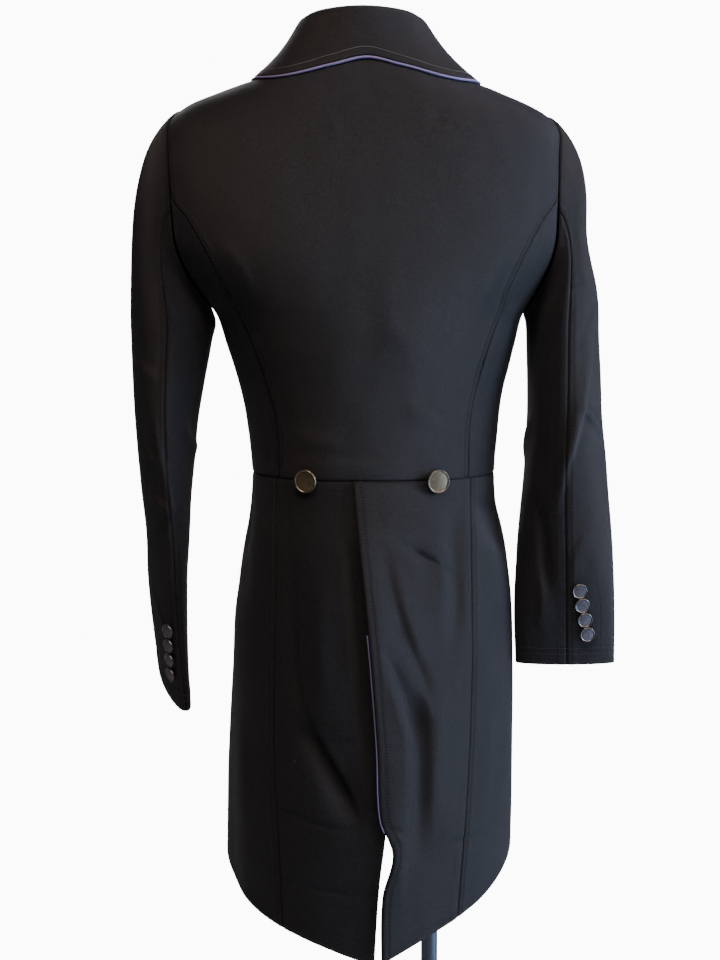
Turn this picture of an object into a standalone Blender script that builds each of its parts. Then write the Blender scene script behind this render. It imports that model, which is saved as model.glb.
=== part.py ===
"""A shadbelly, worn on a limbless dress form that stands on a round base.

Units are metres. +Z is up, +Y is the coat's front and +X is the wearer's right.
The origin is the centre of the base's underside, on the pole's axis.
"""
import math
from collections import namedtuple

import bmesh
import bpy
from mathutils import Vector

# Cloth and seams
CLOTH = 0.0016
COLLAR_CLOTH = 0.0022
SEAM_GAP = 0.0004
LAYER = 0.0026

# Where the coat is, from the pole's axis
COAT_X = -0.0675
WAIST_Z = 1.020
SHOULDER_H = 1.392
NECK_H = 1.445
SHOULDER_DROP = 0.006

# Armholes
ARMHOLE_LOW_Z = 1.190
ARMHOLE_HALF_DEPTH = 0.062
ARMHOLE_FRONT_DEPTH = 0.055

# Fronts
WRAP = 0.055
BREAK_Z = 1.170
ROLL_TOP_X = 0.076
FRONT_LIFT = 0.0058
LAPEL_TOP_Z = 1.372
LAPEL_WIDTH = 0.066

# Sleeves
CAP_SHARE = 0.30
CAP_END_Z = 1.170
LEFT_CAP = 0.78
RIGHT_CAP = 0.66
CAP_DENT = 0.009
DENT_Z = 1.262

# Piping and buttons
PIPING_R = 0.0013
WAIST_BUTTON_R = 0.012
CUFF_BUTTON_R = 0.0078
FRONT_BUTTON_R = 0.011
CUFF_BUTTON_PITCH = 0.0156
BUTTON_SIDES = 14

# Dress form and stand
FORM_CLEAR = 0.0034
FORM_LOW_Z = 0.870
NECK_TOP_Z = 1.474
POLE_R = 0.009
BASE_R = 0.190
BASE_H = 0.016

# The bodice's rings, from the waist to the neck seam
Ring = namedtuple("Ring", "h side_z back_z front_z half back front lean square")
BODICE = [
    Ring(1.020, 1.020, 1.020, 1.020, 0.1260, 0.092, 0.100, 0.0060, 0.92),
    Ring(1.057, 1.057, 1.057, 1.057, 0.1297, 0.094, 0.104, 0.0060, 0.92),
    Ring(1.107, 1.107, 1.107, 1.107, 0.1362, 0.099, 0.115, 0.0045, 0.90),
    Ring(1.158, 1.158, 1.158, 1.158, 0.1504, 0.106, 0.127, 0.0030, 0.86),
    Ring(1.190, 1.190, 1.190, 1.190, 0.1600, 0.110, 0.130, 0.0015, 0.83),
    Ring(1.212, 1.212, 1.212, 1.212, 0.1780, 0.112, 0.130, 0.0000, 0.81),
    Ring(1.250, 1.250, 1.250, 1.250, 0.2050, 0.114, 0.127, -0.0020, 0.80),
    Ring(1.290, 1.290, 1.290, 1.290, 0.2145, 0.113, 0.118, -0.0030, 0.80),
    Ring(1.330, 1.330, 1.330, 1.330, 0.2140, 0.109, 0.106, -0.0040, 0.80),
    Ring(1.370, 1.370, 1.370, 1.370, 0.2060, 0.101, 0.092, -0.0040, 0.80),
    Ring(1.392, 1.392, 1.392, 1.390, 0.1990, 0.094, 0.082, -0.0040, 0.80),
    Ring(1.401, 1.404, 1.404, 1.396, 0.1840, 0.088, 0.076, -0.0035, 0.84),
    Ring(1.414, 1.414, 1.420, 1.401, 0.1450, 0.078, 0.068, -0.0030, 0.88),
    Ring(1.427, 1.421, 1.435, 1.403, 0.1120, 0.068, 0.061, -0.0020, 0.92),
    Ring(1.437, 1.428, 1.446, 1.403, 0.0900, 0.061, 0.057, -0.0010, 0.96),
    Ring(1.445, 1.434, 1.453, 1.402, 0.0780, 0.056, 0.054, -0.0010, 1.00),
]

# The tails' rings, from the tips up to the waist
TAILS = [
    Ring(0.500, 0.500, 0.500, 0.500, 0.1490, 0.104, 0.090, 0.0020, 0.95),
    Ring(0.585, 0.585, 0.585, 0.585, 0.1510, 0.108, 0.094, 0.0025, 0.94),
    Ring(0.640, 0.640, 0.640, 0.640, 0.1521, 0.111, 0.096, 0.0035, 0.93),
    Ring(0.745, 0.745, 0.745, 0.745, 0.1511, 0.114, 0.098, 0.0050, 0.92),
    Ring(0.850, 0.850, 0.850, 0.850, 0.1475, 0.116, 0.100, 0.0058, 0.91),
    Ring(0.902, 0.902, 0.902, 0.902, 0.1443, 0.114, 0.101, 0.0060, 0.91),
    Ring(0.954, 0.954, 0.954, 0.954, 0.1375, 0.107, 0.101, 0.0060, 0.91),
    Ring(0.990, 0.990, 0.990, 0.990, 0.1290, 0.098, 0.100, 0.0060, 0.92),
    Ring(1.020, 1.020, 1.020, 1.020, 0.1260, 0.092, 0.100, 0.0060, 0.92),
]

# Where the long seams run, measured sideways from the ring's centre
Seam = namedtuple("Seam", "z x")
BACK_SEAM = [
    Seam(1.020, 0.0960), Seam(1.080, 0.0985), Seam(1.115, 0.1060), Seam(1.165, 0.1220),
    Seam(1.215, 0.1425), Seam(1.260, 0.1650), Seam(1.300, 0.1900),
]
TAIL_SEAM = [Seam(0.500, 0.088), Seam(0.600, 0.093), Seam(0.760, 0.101), Seam(1.020, 0.0985)]
RIGHT_VENT = [
    Seam(0.500, 0.0125), Seam(0.590, 0.0125), Seam(0.637, 0.0215), Seam(0.676, 0.0085),
    Seam(0.753, 0.0040), Seam(0.840, -0.0030), Seam(0.932, -0.0120), Seam(1.020, -0.0210),
]
LEFT_VENT = [
    Seam(0.500, 0.0040), Seam(0.604, 0.0095), Seam(0.656, 0.0145), Seam(0.800, 0.0230),
    Seam(1.020, 0.0240),
]

# The tails' largest folds: a line down the cloth, its width, and how far it stands out
Fold = namedtuple("Fold", "top_x top_z low_x low_z width depth")
LEFT_FOLDS = [
    Fold(-0.082, 0.950, -0.068, 0.770, 0.016, -0.0035),
    Fold(-0.068, 0.790, -0.012, 0.660, 0.020, -0.0050),
    Fold(-0.128, 1.005, -0.134, 0.860, 0.010, -0.0035),
    Fold(-0.050, 0.900, -0.035, 0.600, 0.026, 0.0030),
]
RIGHT_FOLDS = [
    Fold(0.054, 0.880, 0.058, 0.600, 0.016, -0.0050),
    Fold(0.040, 0.985, 0.068, 0.900, 0.014, -0.0030),
    Fold(0.090, 1.000, 0.092, 0.840, 0.012, -0.0030),
    Fold(0.118, 1.005, 0.132, 0.940, 0.010, -0.0045),
    Fold(0.030, 0.820, 0.034, 0.560, 0.018, 0.0035),
]

# The hem, from the tips at the vent round to the front corners
LEFT_TIP_Z = 0.516
RIGHT_TIP_Z = 0.514
LEFT_HEM_RISE = 0.094
RIGHT_HEM_RISE = 0.130

# Each sleeve's sections below the cap: centre, half sizes, turn in degrees, front rise
Cuff = namedtuple("Cuff", "z x y half_x half_y turn rise")
LEFT_SLEEVE = [
    Cuff(0.783, 0.2105, 0.030, 0.0120, 0.0550, 19.0, 0.018),
    Cuff(0.850, 0.2135, 0.022, 0.0160, 0.0565, 16.0, 0.012),
    Cuff(0.900, 0.2145, 0.016, 0.0185, 0.0580, 14.0, 0.008),
    Cuff(0.953, 0.2130, 0.010, 0.0215, 0.0600, 11.0, 0.004),
    Cuff(1.005, 0.2130, 0.006, 0.0265, 0.0620, 7.0, 0.002),
    Cuff(1.082, 0.2110, 0.003, 0.0338, 0.0640, 3.0, 0.000),
    Cuff(1.170, 0.2040, 0.002, 0.0425, 0.0630, 0.0, 0.000),
]
RIGHT_SLEEVE = [
    Cuff(0.820, 0.2085, -0.030, 0.0520, 0.0135, 0.0, 0.000),
    Cuff(0.876, 0.2070, -0.030, 0.0520, 0.0190, 0.0, 0.000),
    Cuff(0.928, 0.2070, -0.025, 0.0500, 0.0290, -3.0, 0.000),
    Cuff(0.980, 0.2070, -0.018, 0.0465, 0.0410, -5.0, 0.000),
    Cuff(1.031, 0.2075, -0.010, 0.0420, 0.0520, -5.0, 0.000),
    Cuff(1.082, 0.2070, -0.004, 0.0385, 0.0590, -3.0, 0.000),
    Cuff(1.170, 0.2040, 0.002, 0.0367, 0.0630, 0.0, 0.000),
]

# The collar from centre back to a gorge: its neck seam, its fold, and its edge on the bodice
Station = namedtuple("Station", "t seam_x seam_y seam_z fold_x fold_y fold_z edge_turn edge_h")
COLLAR = [
    Station(0.00, 0.0000, -0.0565, 1.4570, 0.000, -0.0520, 1.4950, 0.0, 1.4345),
    Station(0.20, 0.0340, -0.0510, 1.4545, 0.030, -0.0450, 1.4935, 17.0, 1.4280),
    Station(0.42, 0.0600, -0.0330, 1.4490, 0.053, -0.0270, 1.4895, 38.0, 1.4200),
    Station(0.62, 0.0750, -0.0030, 1.4410, 0.065, 0.0040, 1.4810, 72.0, 1.4260),
    Station(0.82, 0.0760, 0.0300, 1.4330, 0.069, 0.0380, 1.4600, 108.0, 1.4260),
    Station(1.00, 0.0765, 0.0600, 1.4120, 0.074, 0.0660, 1.4260, 142.0, 1.4120),
]
COLLAR_FOLD_R = 0.0030
COLLAR_LIFT = 0.0048
COLLAR_HOLLOW = 0.13
COLLAR_LEAN = -0.006
COLLAR_COLUMNS = 25

# Colours
Look = namedtuple("Look", "name colour roughness metallic")
TWILL = Look("black_twill", (0.012, 0.012, 0.016), 0.62, 0.0)
PIPING = Look("lavender_piping", (0.16, 0.13, 0.42), 0.55, 0.0)
PEWTER = Look("pewter_button", (0.16, 0.15, 0.13), 0.38, 0.9)
LINEN = Look("form_linen", (0.55, 0.52, 0.46), 0.85, 0.0)
STEEL = Look("stand_steel", (0.10, 0.12, 0.17), 0.35, 1.0)


def clear_scene():
    """Start with no objects."""
    for thing in list(bpy.data.objects):
        bpy.data.objects.remove(thing, do_unlink=True)


def new_collection(name):
    """A collection for the finished parts."""
    folder = bpy.data.collections.new(name)
    bpy.context.scene.collection.children.link(folder)
    return folder


def material(look):
    """The Principled material of one finish, made once."""
    found = bpy.data.materials.get(look.name)
    if found:
        return found
    made = bpy.data.materials.new(look.name)
    made.use_nodes = True
    shader = made.node_tree.nodes["Principled BSDF"]
    shader.inputs["Base Color"].default_value = (*look.colour, 1.0)
    shader.inputs["Roughness"].default_value = look.roughness
    shader.inputs["Metallic"].default_value = look.metallic
    return made


def keep(folder, thing, look):
    """Give an object its finish and put it in the coat's collection."""
    thing.data.materials.clear()
    thing.data.materials.append(material(look))
    for old in list(thing.users_collection):
        old.objects.unlink(thing)
    folder.objects.link(thing)
    return thing


def steps(first, last, count):
    """Evenly spaced values, both ends included."""
    return [first + (last - first) * i / (count - 1) for i in range(count)]


def smooth(value):
    """0 to 1 with soft ends."""
    value = min(max(value, 0.0), 1.0)
    return value * value * (3.0 - 2.0 * value)


def power(value, exponent):
    """A power that keeps its sign."""
    return math.copysign(abs(value) ** exponent, value)


def slope(rows, i, column):
    """How fast one column of a table changes at a row."""
    low = max(i - 1, 0)
    high = min(i + 1, len(rows) - 1)
    return (rows[high][column] - rows[low][column]) / (rows[high][0] - rows[low][0])


def read(rows, key):
    """A table's values at one key, on a smooth curve through its rows."""
    key = min(max(key, rows[0][0]), rows[-1][0])
    i = max(k for k in range(len(rows) - 1) if rows[k][0] <= key)
    span = rows[i + 1][0] - rows[i][0]
    t = (key - rows[i][0]) / span
    values = []
    for column in range(len(rows[0])):
        a = rows[i][column]
        b = rows[i + 1][column]
        leave = slope(rows, i, column) * span
        arrive = slope(rows, i + 1, column) * span
        values.append(cubic(a, b, leave, arrive, t))
    return type(rows[0])(*values)


def cubic(a, b, leave, arrive, t):
    """A Hermite curve from a to b."""
    t2 = t * t
    t3 = t2 * t
    near = (2 * t3 - 3 * t2 + 1) * a + (t3 - 2 * t2 + t) * leave
    far = (3 * t2 - 2 * t3) * b + (t3 - t2) * arrive
    return near + far


def ring_point(rows, angle, h):
    """A point of the coat's surface: angle 0 is centre back, a quarter turn is the side."""
    ring = read(rows, h)
    across = power(math.sin(angle), ring.square)
    along = power(math.cos(angle), ring.square)
    depth = ring.back if along > 0 else ring.front
    level = ring.back_z if along > 0 else ring.front_z
    z = ring.side_z + (level - ring.side_z) * math.cos(angle) ** 2
    return Vector((COAT_X + ring.lean + ring.half * across, -depth * along, z))


def ring_angle(rows, x, h):
    """The angle at which a ring is x to the side of its centre."""
    ring = read(rows, h)
    share = min(abs(x) / ring.half, 1.0)
    return math.copysign(math.asin(share ** (1.0 / ring.square)), x)


def outward(surface, a, b, sign=1.0):
    """A surface's normal at (a, b), on the side that sign says."""
    small = 0.0005
    along_a = surface(a + small, b) - surface(a - small, b)
    along_b = surface(a, b + small) - surface(a, b - small)
    return along_a.cross(along_b).normalized() * sign


def lifted(surface, a, b, lift, sign=1.0):
    """A point of a surface, moved out by lift."""
    return surface(a, b) + outward(surface, a, b, sign) * lift


def wall(folder, name, surface, places, sign=1.0, look=TWILL, thickness=CLOTH):
    """A closed cloth wall of even thickness about a surface, at a grid of its places."""
    body = bmesh.new()
    outer = []
    inner = []
    for line in places:
        middles = [surface(a, b) for a, b in line]
        offsets = [outward(surface, a, b, sign) * 0.5 * thickness for a, b in line]
        outer.append([body.verts.new(p + d) for p, d in zip(middles, offsets)])
        inner.append([body.verts.new(p - d) for p, d in zip(middles, offsets)])
    rows = len(places)
    columns = len(places[0])
    for i in range(rows - 1):
        for j in range(columns - 1):
            body.faces.new((outer[i][j], outer[i][j + 1], outer[i + 1][j + 1], outer[i + 1][j]))
            body.faces.new((inner[i][j], inner[i + 1][j], inner[i + 1][j + 1], inner[i][j + 1]))
    for a, b in rim(rows, columns):
        body.faces.new((outer[a[0]][a[1]], inner[a[0]][a[1]], inner[b[0]][b[1]], outer[b[0]][b[1]]))
    return finish_mesh(folder, name, body, look)


def rim(rows, columns):
    """The grid's border, as pairs of neighbouring places."""
    path = [(0, j) for j in range(columns - 1)]
    path += [(i, columns - 1) for i in range(rows - 1)]
    path += [(rows - 1, j) for j in range(columns - 1, 0, -1)]
    path += [(i, 0) for i in range(rows - 1, 0, -1)]
    return list(zip(path, path[1:] + path[:1]))


def finish_mesh(folder, name, body, look):
    """Turn a bmesh into a smooth-shaded object whose faces point out."""
    bmesh.ops.recalc_face_normals(body, faces=body.faces)
    if body.calc_volume(signed=True) < 0:
        bmesh.ops.reverse_faces(body, faces=body.faces)
    data = bpy.data.meshes.new(name)
    body.to_mesh(data)
    body.free()
    data.shade_smooth()
    data.set_sharp_from_angle(angle=math.radians(40))
    thing = bpy.data.objects.new(name, data)
    return keep(folder, thing, look)


def dropped(point):
    """The right shoulder is carried a little lower than the left one."""
    across = smooth((point.x - COAT_X - 0.04) / 0.13)
    up = smooth((point.z - 1.30) / 0.09)
    return point - Vector((0.0, 0.0, SHOULDER_DROP * across * up))


def bodice(angle, h):
    """The bodice's surface."""
    return dropped(ring_point(BODICE, angle, h))


def armhole_angle(h, depth):
    """Where a ring meets the armhole, as an angle from centre back or centre front."""
    middle = 0.5 * (ARMHOLE_LOW_Z + SHOULDER_H)
    reach = 0.5 * (SHOULDER_H - ARMHOLE_LOW_Z)
    share = (h - middle) / reach
    if abs(share) >= 1.0:
        return 0.5 * math.pi
    ring = read(BODICE, h)
    full = ring.back if depth == ARMHOLE_HALF_DEPTH else ring.front
    half_depth = depth * math.sqrt(1.0 - share * share)
    return math.acos((half_depth / full) ** (1.0 / ring.square))


def back_levels():
    """The heights of the back panels' rows, up to the top of the back seams."""
    return steps(WAIST_Z + SEAM_GAP, 1.288, 12)


def back_centre(folder):
    """The centre back, from the waist to the shoulder seams and the neck."""
    places = []
    levels = back_levels() + steps(1.312, SHOULDER_H, 4) + steps(1.401, NECK_H, 6)
    for h in levels:
        half = seam_half_angle(h)
        places.append([(a, h) for a in steps(-half, half, 15)])
    return wall(folder, "back_centre", bodice, places)


def seam_half_angle(h):
    """Half of the centre back's width, as an angle."""
    ring = read(BODICE, h)
    if h <= 1.300:
        edge = ring_angle(BODICE, read(BACK_SEAM, h).x, h)
    else:
        edge = armhole_angle(h, ARMHOLE_HALF_DEPTH)
    return edge - SEAM_GAP / ring.half


def side_back(folder, side):
    """The panel between a back seam and the side seam."""
    places = []
    for h in back_levels():
        gap = SEAM_GAP / read(BODICE, h).half
        inner = ring_angle(BODICE, read(BACK_SEAM, h).x, h) + gap
        outer = armhole_angle(h, ARMHOLE_HALF_DEPTH) - gap
        places.append([(side * a, h) for a in steps(inner, outer, 6)])
    return wall(folder, "side_back_" + side_name(side), bodice, places)


def side_name(side):
    """The wearer's right is at +X."""
    return "right" if side > 0 else "left"


def roll_x(z):
    """How far a front reaches past the centre, then its roll line up to the neck."""
    share = min(max((z - BREAK_Z) / (1.405 - BREAK_Z), 0.0), 1.0)
    return -WRAP + (WRAP + ROLL_TOP_X) * share


def front_angle(h, x):
    """The angle from centre back of a point x to the side on the front half."""
    return math.pi - ring_angle(BODICE, x, h)


def front_lift(angle, side):
    """The right front lies on the left one near the centre."""
    if side < 0:
        return 0.0
    return FRONT_LIFT * smooth((angle - 2.05) / 0.50)


def front_edge_x(h):
    """The front's edge: the wrap below the break and the roll line above it."""
    ring = read(BODICE, h)
    return min(roll_x(ring.side_z), 0.93 * ring.half)


def front_surface(side, layer):
    """A front's surface, moved out by the layers under it."""
    def surface(angle, h):
        return lifted(bodice, angle, h, front_lift(abs(angle), side) + layer)
    return surface


def front(folder, side):
    """One front, from the side seam round to its wrapped edge."""
    places = []
    levels = steps(WAIST_Z + SEAM_GAP, BREAK_Z, 6) + steps(1.200, SHOULDER_H, 8)
    levels += steps(1.402, NECK_H - 0.002, 5)
    for h in levels:
        gap = SEAM_GAP / read(BODICE, h).half
        outer = math.pi - armhole_angle(h, ARMHOLE_FRONT_DEPTH) + gap
        inner = front_angle(h, front_edge_x(h))
        places.append([(side * a, h) for a in steps(outer, inner, 11)])
    return wall(folder, "front_" + side_name(side), front_surface(side, 0.0), places)


def lapel(folder, side):
    """A turned lapel, lying on its front from the roll line outwards."""
    places = []
    low = BREAK_Z + 0.012
    for t in steps(0.0, 1.0, 9):
        h = low + (LAPEL_TOP_Z - low) * t
        start = roll_x(h) + 0.004
        width = LAPEL_WIDTH * (0.10 + 0.90 * math.sin(0.5 * math.pi * min(t * 1.25, 1.0)))
        line = []
        for w in steps(0.0, 1.0, 6):
            level = h - 0.030 * w * smooth((t - 0.6) / 0.4)
            line.append((side * front_angle(level, start + width * w), level))
        places.append(line)
    return wall(folder, "lapel_" + side_name(side), front_surface(side, LAYER), places)


def collar_profile(station, side):
    """Across the collar: up the stand, over the fold and down the fall."""
    up = Vector((0.0, 0.0, 1.0))
    seam = Vector((station.seam_x, station.seam_y, station.seam_z))
    fold = Vector((station.fold_x, station.fold_y, station.fold_z))
    turn = math.radians(station.edge_turn)
    lift = COLLAR_LIFT + front_lift(turn, 1)
    edge = lifted(bodice, side * turn, station.edge_h, lift) - Vector((COAT_X, 0.0, 0.0))
    edge.x = abs(edge.x)
    out = Vector((edge.x - seam.x, edge.y - seam.y, 0.0)).normalized()
    inner = fold - (out + up) * COLLAR_FOLD_R
    outer = fold + (out - up) * COLLAR_FOLD_R
    spread = Vector((edge.x - outer.x, edge.y - outer.y, 0.0))
    middle = outer.lerp(edge, 0.5) - spread * COLLAR_HOLLOW
    return [seam, seam.lerp(inner, 0.5), inner, fold, outer, middle, edge]


def collar_point(t, w):
    """A point of the collar: t from the left gorge to the right one, w across."""
    line = collar_profile(read(COLLAR, abs(t)), math.copysign(1.0, t))
    place = min(max(w, 0.0), 1.0) * (len(line) - 1)
    i = min(int(place), len(line) - 2)
    here = line[i].lerp(line[i + 1], place - i)
    lean = COLLAR_LEAN * math.sin(math.pi * min(max(w, 0.0), 1.0))
    return Vector((COAT_X + lean + math.copysign(here.x, t), here.y, here.z))


def collar(folder):
    """The stand and fall, in one folded piece."""
    places = []
    for w in steps(0.0, 1.0, 7):
        places.append([(t, w) for t in steps(-1.0, 1.0, COLLAR_COLUMNS)])
    return wall(folder, "collar", collar_point, places, 1.0, TWILL, COLLAR_CLOTH)


def cord(folder, name, path, radius, look):
    """A thin piping along a path, closed at both ends."""
    line = bpy.data.curves.new(name, "CURVE")
    line.dimensions = "3D"
    spline = line.splines.new("POLY")
    spline.points.add(len(path) - 1)
    for point, place in zip(spline.points, path):
        point.co = (*place, 1.0)
    line.bevel_depth = radius
    line.bevel_resolution = 1
    line.use_fill_caps = True
    thing = bpy.data.objects.new(name, line)
    return keep(folder, thing, look)


def collar_piping(folder):
    """The piping just outside the collar's edge."""
    path = []
    for t in steps(-1.0, 1.0, COLLAR_COLUMNS):
        edge = collar_point(t, 1.0)
        away = (edge - collar_point(t, 0.9)).normalized()
        facing = outward(collar_point, t, 0.95, -1.0)
        path.append(edge + away * (PIPING_R + 2 * SEAM_GAP) + facing * 0.0007)
    return cord(folder, "collar_piping", path, PIPING_R, PIPING)


def hem_z(angle, side):
    """The hem's height, rising from the tip round to the side."""
    tip = RIGHT_TIP_Z if side > 0 else LEFT_TIP_Z
    rise = RIGHT_HEM_RISE if side > 0 else LEFT_HEM_RISE
    t = abs(angle) / (0.5 * math.pi)
    return tip + rise * (1.1 * t - 0.75 * t * t + 0.65 * t ** 3)


def fold_lift(point, side):
    """How far the tails' folds move a point out."""
    x = point.x - COAT_X
    total = 0.0
    for fold in (RIGHT_FOLDS if side > 0 else LEFT_FOLDS):
        share = (fold.top_z - point.z) / (fold.top_z - fold.low_z)
        line_x = fold.top_x + (fold.low_x - fold.top_x) * share
        ends = smooth(share * 3.0) * smooth((1.0 - share) * 3.0)
        total += fold.depth * ends * math.exp(-((x - line_x) / fold.width) ** 2)
    return total


def flutes(angle, z):
    """Soft waves that grow towards the hem, out at the sides."""
    down = smooth((WAIST_Z - 0.10 - z) / 0.35)
    side = smooth((abs(angle) - 0.9) / 0.5)
    return 0.0022 * down * side * math.sin(9.0 * angle + 5.0 * z)


def vent_lift(point, side):
    """The right tail stands off the left one along the vent."""
    if side < 0:
        return 0.0
    near = math.exp(-((point.x - COAT_X - 0.005) / 0.040) ** 2)
    down = smooth((WAIST_Z - point.z) / 0.10)
    return near * (0.0030 + 0.0050 * down)


def tail_point(angle, z, side):
    """A point of a tail, with its folds."""
    ring = ring_point(TAILS, angle, z)
    lift = fold_lift(ring, side) + flutes(angle, z) + vent_lift(ring, side)
    out = Vector((ring.x - COAT_X, 1.4 * ring.y, 0.0)).normalized()
    return ring + out * lift


def tail_places(inner, outer, across, side):
    """Places down a tail between two edges, each an angle at a height."""
    places = []
    top = WAIST_Z - SEAM_GAP
    for v in steps(0.0, 1.0, 19):
        line = []
        for c in steps(0.0, 1.0, across):
            z = top - v * (top - 0.56)
            for _ in range(4):
                angle = inner(z) + (outer(z) - inner(z)) * c
                z = top - v * (top - hem_z(angle, side))
            line.append((angle, z))
        places.append(line)
    return places


def tail_seam_angle(z, side, away):
    """The seam between a tail's two panels, moved away from it by half a gap."""
    gap = away * SEAM_GAP / read(TAILS, z).half
    return side * (ring_angle(TAILS, read(TAIL_SEAM, z).x, z) + gap)


def vent_angle(z, side):
    """A tail's edge at the vent."""
    rows = RIGHT_VENT if side > 0 else LEFT_VENT
    return ring_angle(TAILS, read(rows, z).x, z)


def front_edge_angle(z, side):
    """The tails' front edge, from the hip down and back to the side."""
    down = (WAIST_Z - z) / (WAIST_Z - 0.60)
    return side * math.radians(114.0 - 22.0 * smooth(down))


def tail_surface(side):
    """One tail's surface."""
    return lambda angle, z: tail_point(angle, z, side)


def tail_back(folder, side):
    """The tail panel beside the vent."""
    places = tail_places(
        lambda z: vent_angle(z, side), lambda z: tail_seam_angle(z, side, -1), 9, side)
    return wall(folder, "tail_back_" + side_name(side), tail_surface(side), places)


def tail_side(folder, side):
    """The tail panel out to the front edge."""
    places = tail_places(
        lambda z: tail_seam_angle(z, side, 1), lambda z: front_edge_angle(z, side), 8, side)
    return wall(folder, "tail_side_" + side_name(side), tail_surface(side), places)


def vent_piping(folder):
    """The piping that shows along the right tail's edge."""
    path = []
    for z in steps(0.880, 0.664, 22):
        edge = tail_point(vent_angle(z, 1), z, 1)
        path.append(edge + Vector((-1, 0, 0)) * (PIPING_R + 2 * SEAM_GAP))
    return cord(folder, "vent_piping", path, PIPING_R, PIPING)


def armhole_point(side, turn):
    """The sleeve's end of the armhole: turn 0 is the shoulder, a quarter turn the back."""
    middle = 0.5 * (ARMHOLE_LOW_Z + SHOULDER_H)
    reach = 0.5 * (SHOULDER_H - ARMHOLE_LOW_Z)
    h = middle + reach * math.cos(turn)
    at_back = math.sin(turn) > 0
    if at_back:
        angle = armhole_angle(h, ARMHOLE_HALF_DEPTH)
    else:
        angle = math.pi - armhole_angle(h, ARMHOLE_FRONT_DEPTH)
    point = bodice(side * angle, h)
    low = 0.5 - 0.5 * math.cos(turn)
    return point + Vector((side * (0.0010 + 0.0022 * low), 0.0, 0.0012 - 0.0024 * low))


def sleeve_section(side, turn, z):
    """A sleeve below its cap: turn 0 is the outer side, a quarter turn the back."""
    row = read(RIGHT_SLEEVE if side > 0 else LEFT_SLEEVE, z)
    x = side * row.half_x * math.cos(turn)
    y = -row.half_y * math.sin(turn)
    spin = math.radians(row.turn)
    across = x * math.cos(spin) - y * math.sin(spin)
    along = x * math.sin(spin) + y * math.cos(spin)
    lift = row.rise * y / row.half_y
    return Vector((COAT_X + side * row.x + across, row.y + along, z + lift))


def sleeve(side, turn, down):
    """A sleeve's surface, from the armhole to the cuff's hem."""
    low = (RIGHT_SLEEVE if side > 0 else LEFT_SLEEVE)[0].z
    if down >= CAP_SHARE:
        share = (down - CAP_SHARE) / (1.0 - CAP_SHARE)
        return sleeve_section(side, turn, CAP_END_Z + (low - CAP_END_Z) * share)
    down = max(down, 0.0)
    start = armhole_point(side, turn)
    end = sleeve_section(side, turn, CAP_END_Z)
    reach = (end - start).length
    top = 0.5 + 0.5 * math.cos(turn)
    leave = Vector((side * (0.15 + 0.85 * top), 0.0, -1.0 + 0.35 * top)).normalized()
    full = 1.0 - top * (1.0 - (RIGHT_CAP if side > 0 else LEFT_CAP))
    arrive = Vector((0.0, 0.0, -1.0))
    point = cubic(start, end, leave * reach * full, arrive * reach, down / CAP_SHARE)
    if side > 0:
        dent = math.exp(-((point.z - DENT_Z) / 0.042) ** 2) * max(math.cos(turn), 0.0)
        point.x -= CAP_DENT * dent
    return point


def sleeve_piece(folder, side, name, first, last):
    """Half of a sleeve, between the back seam and the front seam."""
    places = []
    gap = SEAM_GAP / 0.03
    for down in steps(0.0, CAP_SHARE, 7) + steps(CAP_SHARE + 0.06, 1.0, 12):
        places.append([(turn, down) for turn in steps(first + gap, last - gap, 10)])
    surface = lambda turn, down: sleeve(side, turn, down)
    return wall(folder, name + "_" + side_name(side), surface, places)


def sleeves(folder, side):
    """Both pieces of one sleeve."""
    quarter = 0.5 * math.pi
    sleeve_piece(folder, side, "sleeve_upper", -quarter, quarter)
    sleeve_piece(folder, side, "sleeve_under", quarter, 3.0 * quarter)


def button_profile(radius, height):
    """A button's outline: a slightly domed face with a raised rim, and a flat back."""
    return [
        (0.0, 0.72 * height),
        (0.72 * radius, 0.80 * height),
        (0.84 * radius, height),
        (0.95 * radius, 0.92 * height),
        (radius, 0.55 * height),
        (0.90 * radius, 0.0),
        (0.0, 0.0),
    ]


def turned(folder, name, outline, look, sides):
    """A solid turned about its own Z axis from an outline that runs down its outer side."""
    data = bpy.data.meshes.new(name)
    points = [(r, 0.0, z) for r, z in outline]
    edges = [(i, i + 1) for i in range(len(points) - 1)]
    data.from_pydata(points, edges, [])
    thing = bpy.data.objects.new(name, data)
    screw = thing.modifiers.new("Turn", "SCREW")
    screw.axis = "Z"
    screw.steps = sides
    screw.render_steps = sides
    screw.use_merge_vertices = True
    screw.merge_threshold = 0.0001
    screw.use_smooth_shade = True
    return keep(folder, thing, look)


def button(folder, name, place, facing, radius, height):
    """One button, standing on a place and facing out."""
    thing = turned(folder, name, button_profile(radius, height), PEWTER, BUTTON_SIDES)
    thing.rotation_mode = "QUATERNION"
    thing.rotation_quaternion = facing.to_track_quat("Z", "Y")
    thing.location = place
    return thing


def waist_buttons(folder):
    """The two large buttons on the waist seam."""
    for side, x in ((-1, -0.067), (1, 0.063)):
        angle = ring_angle(BODICE, x, WAIST_Z)
        facing = outward(bodice, angle, WAIST_Z + 0.002)
        place = bodice(angle, WAIST_Z) + facing * (0.5 * CLOTH + 0.0030)
        button(folder, "waist_button_" + side_name(side), place, facing, WAIST_BUTTON_R, 0.0045)


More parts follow.
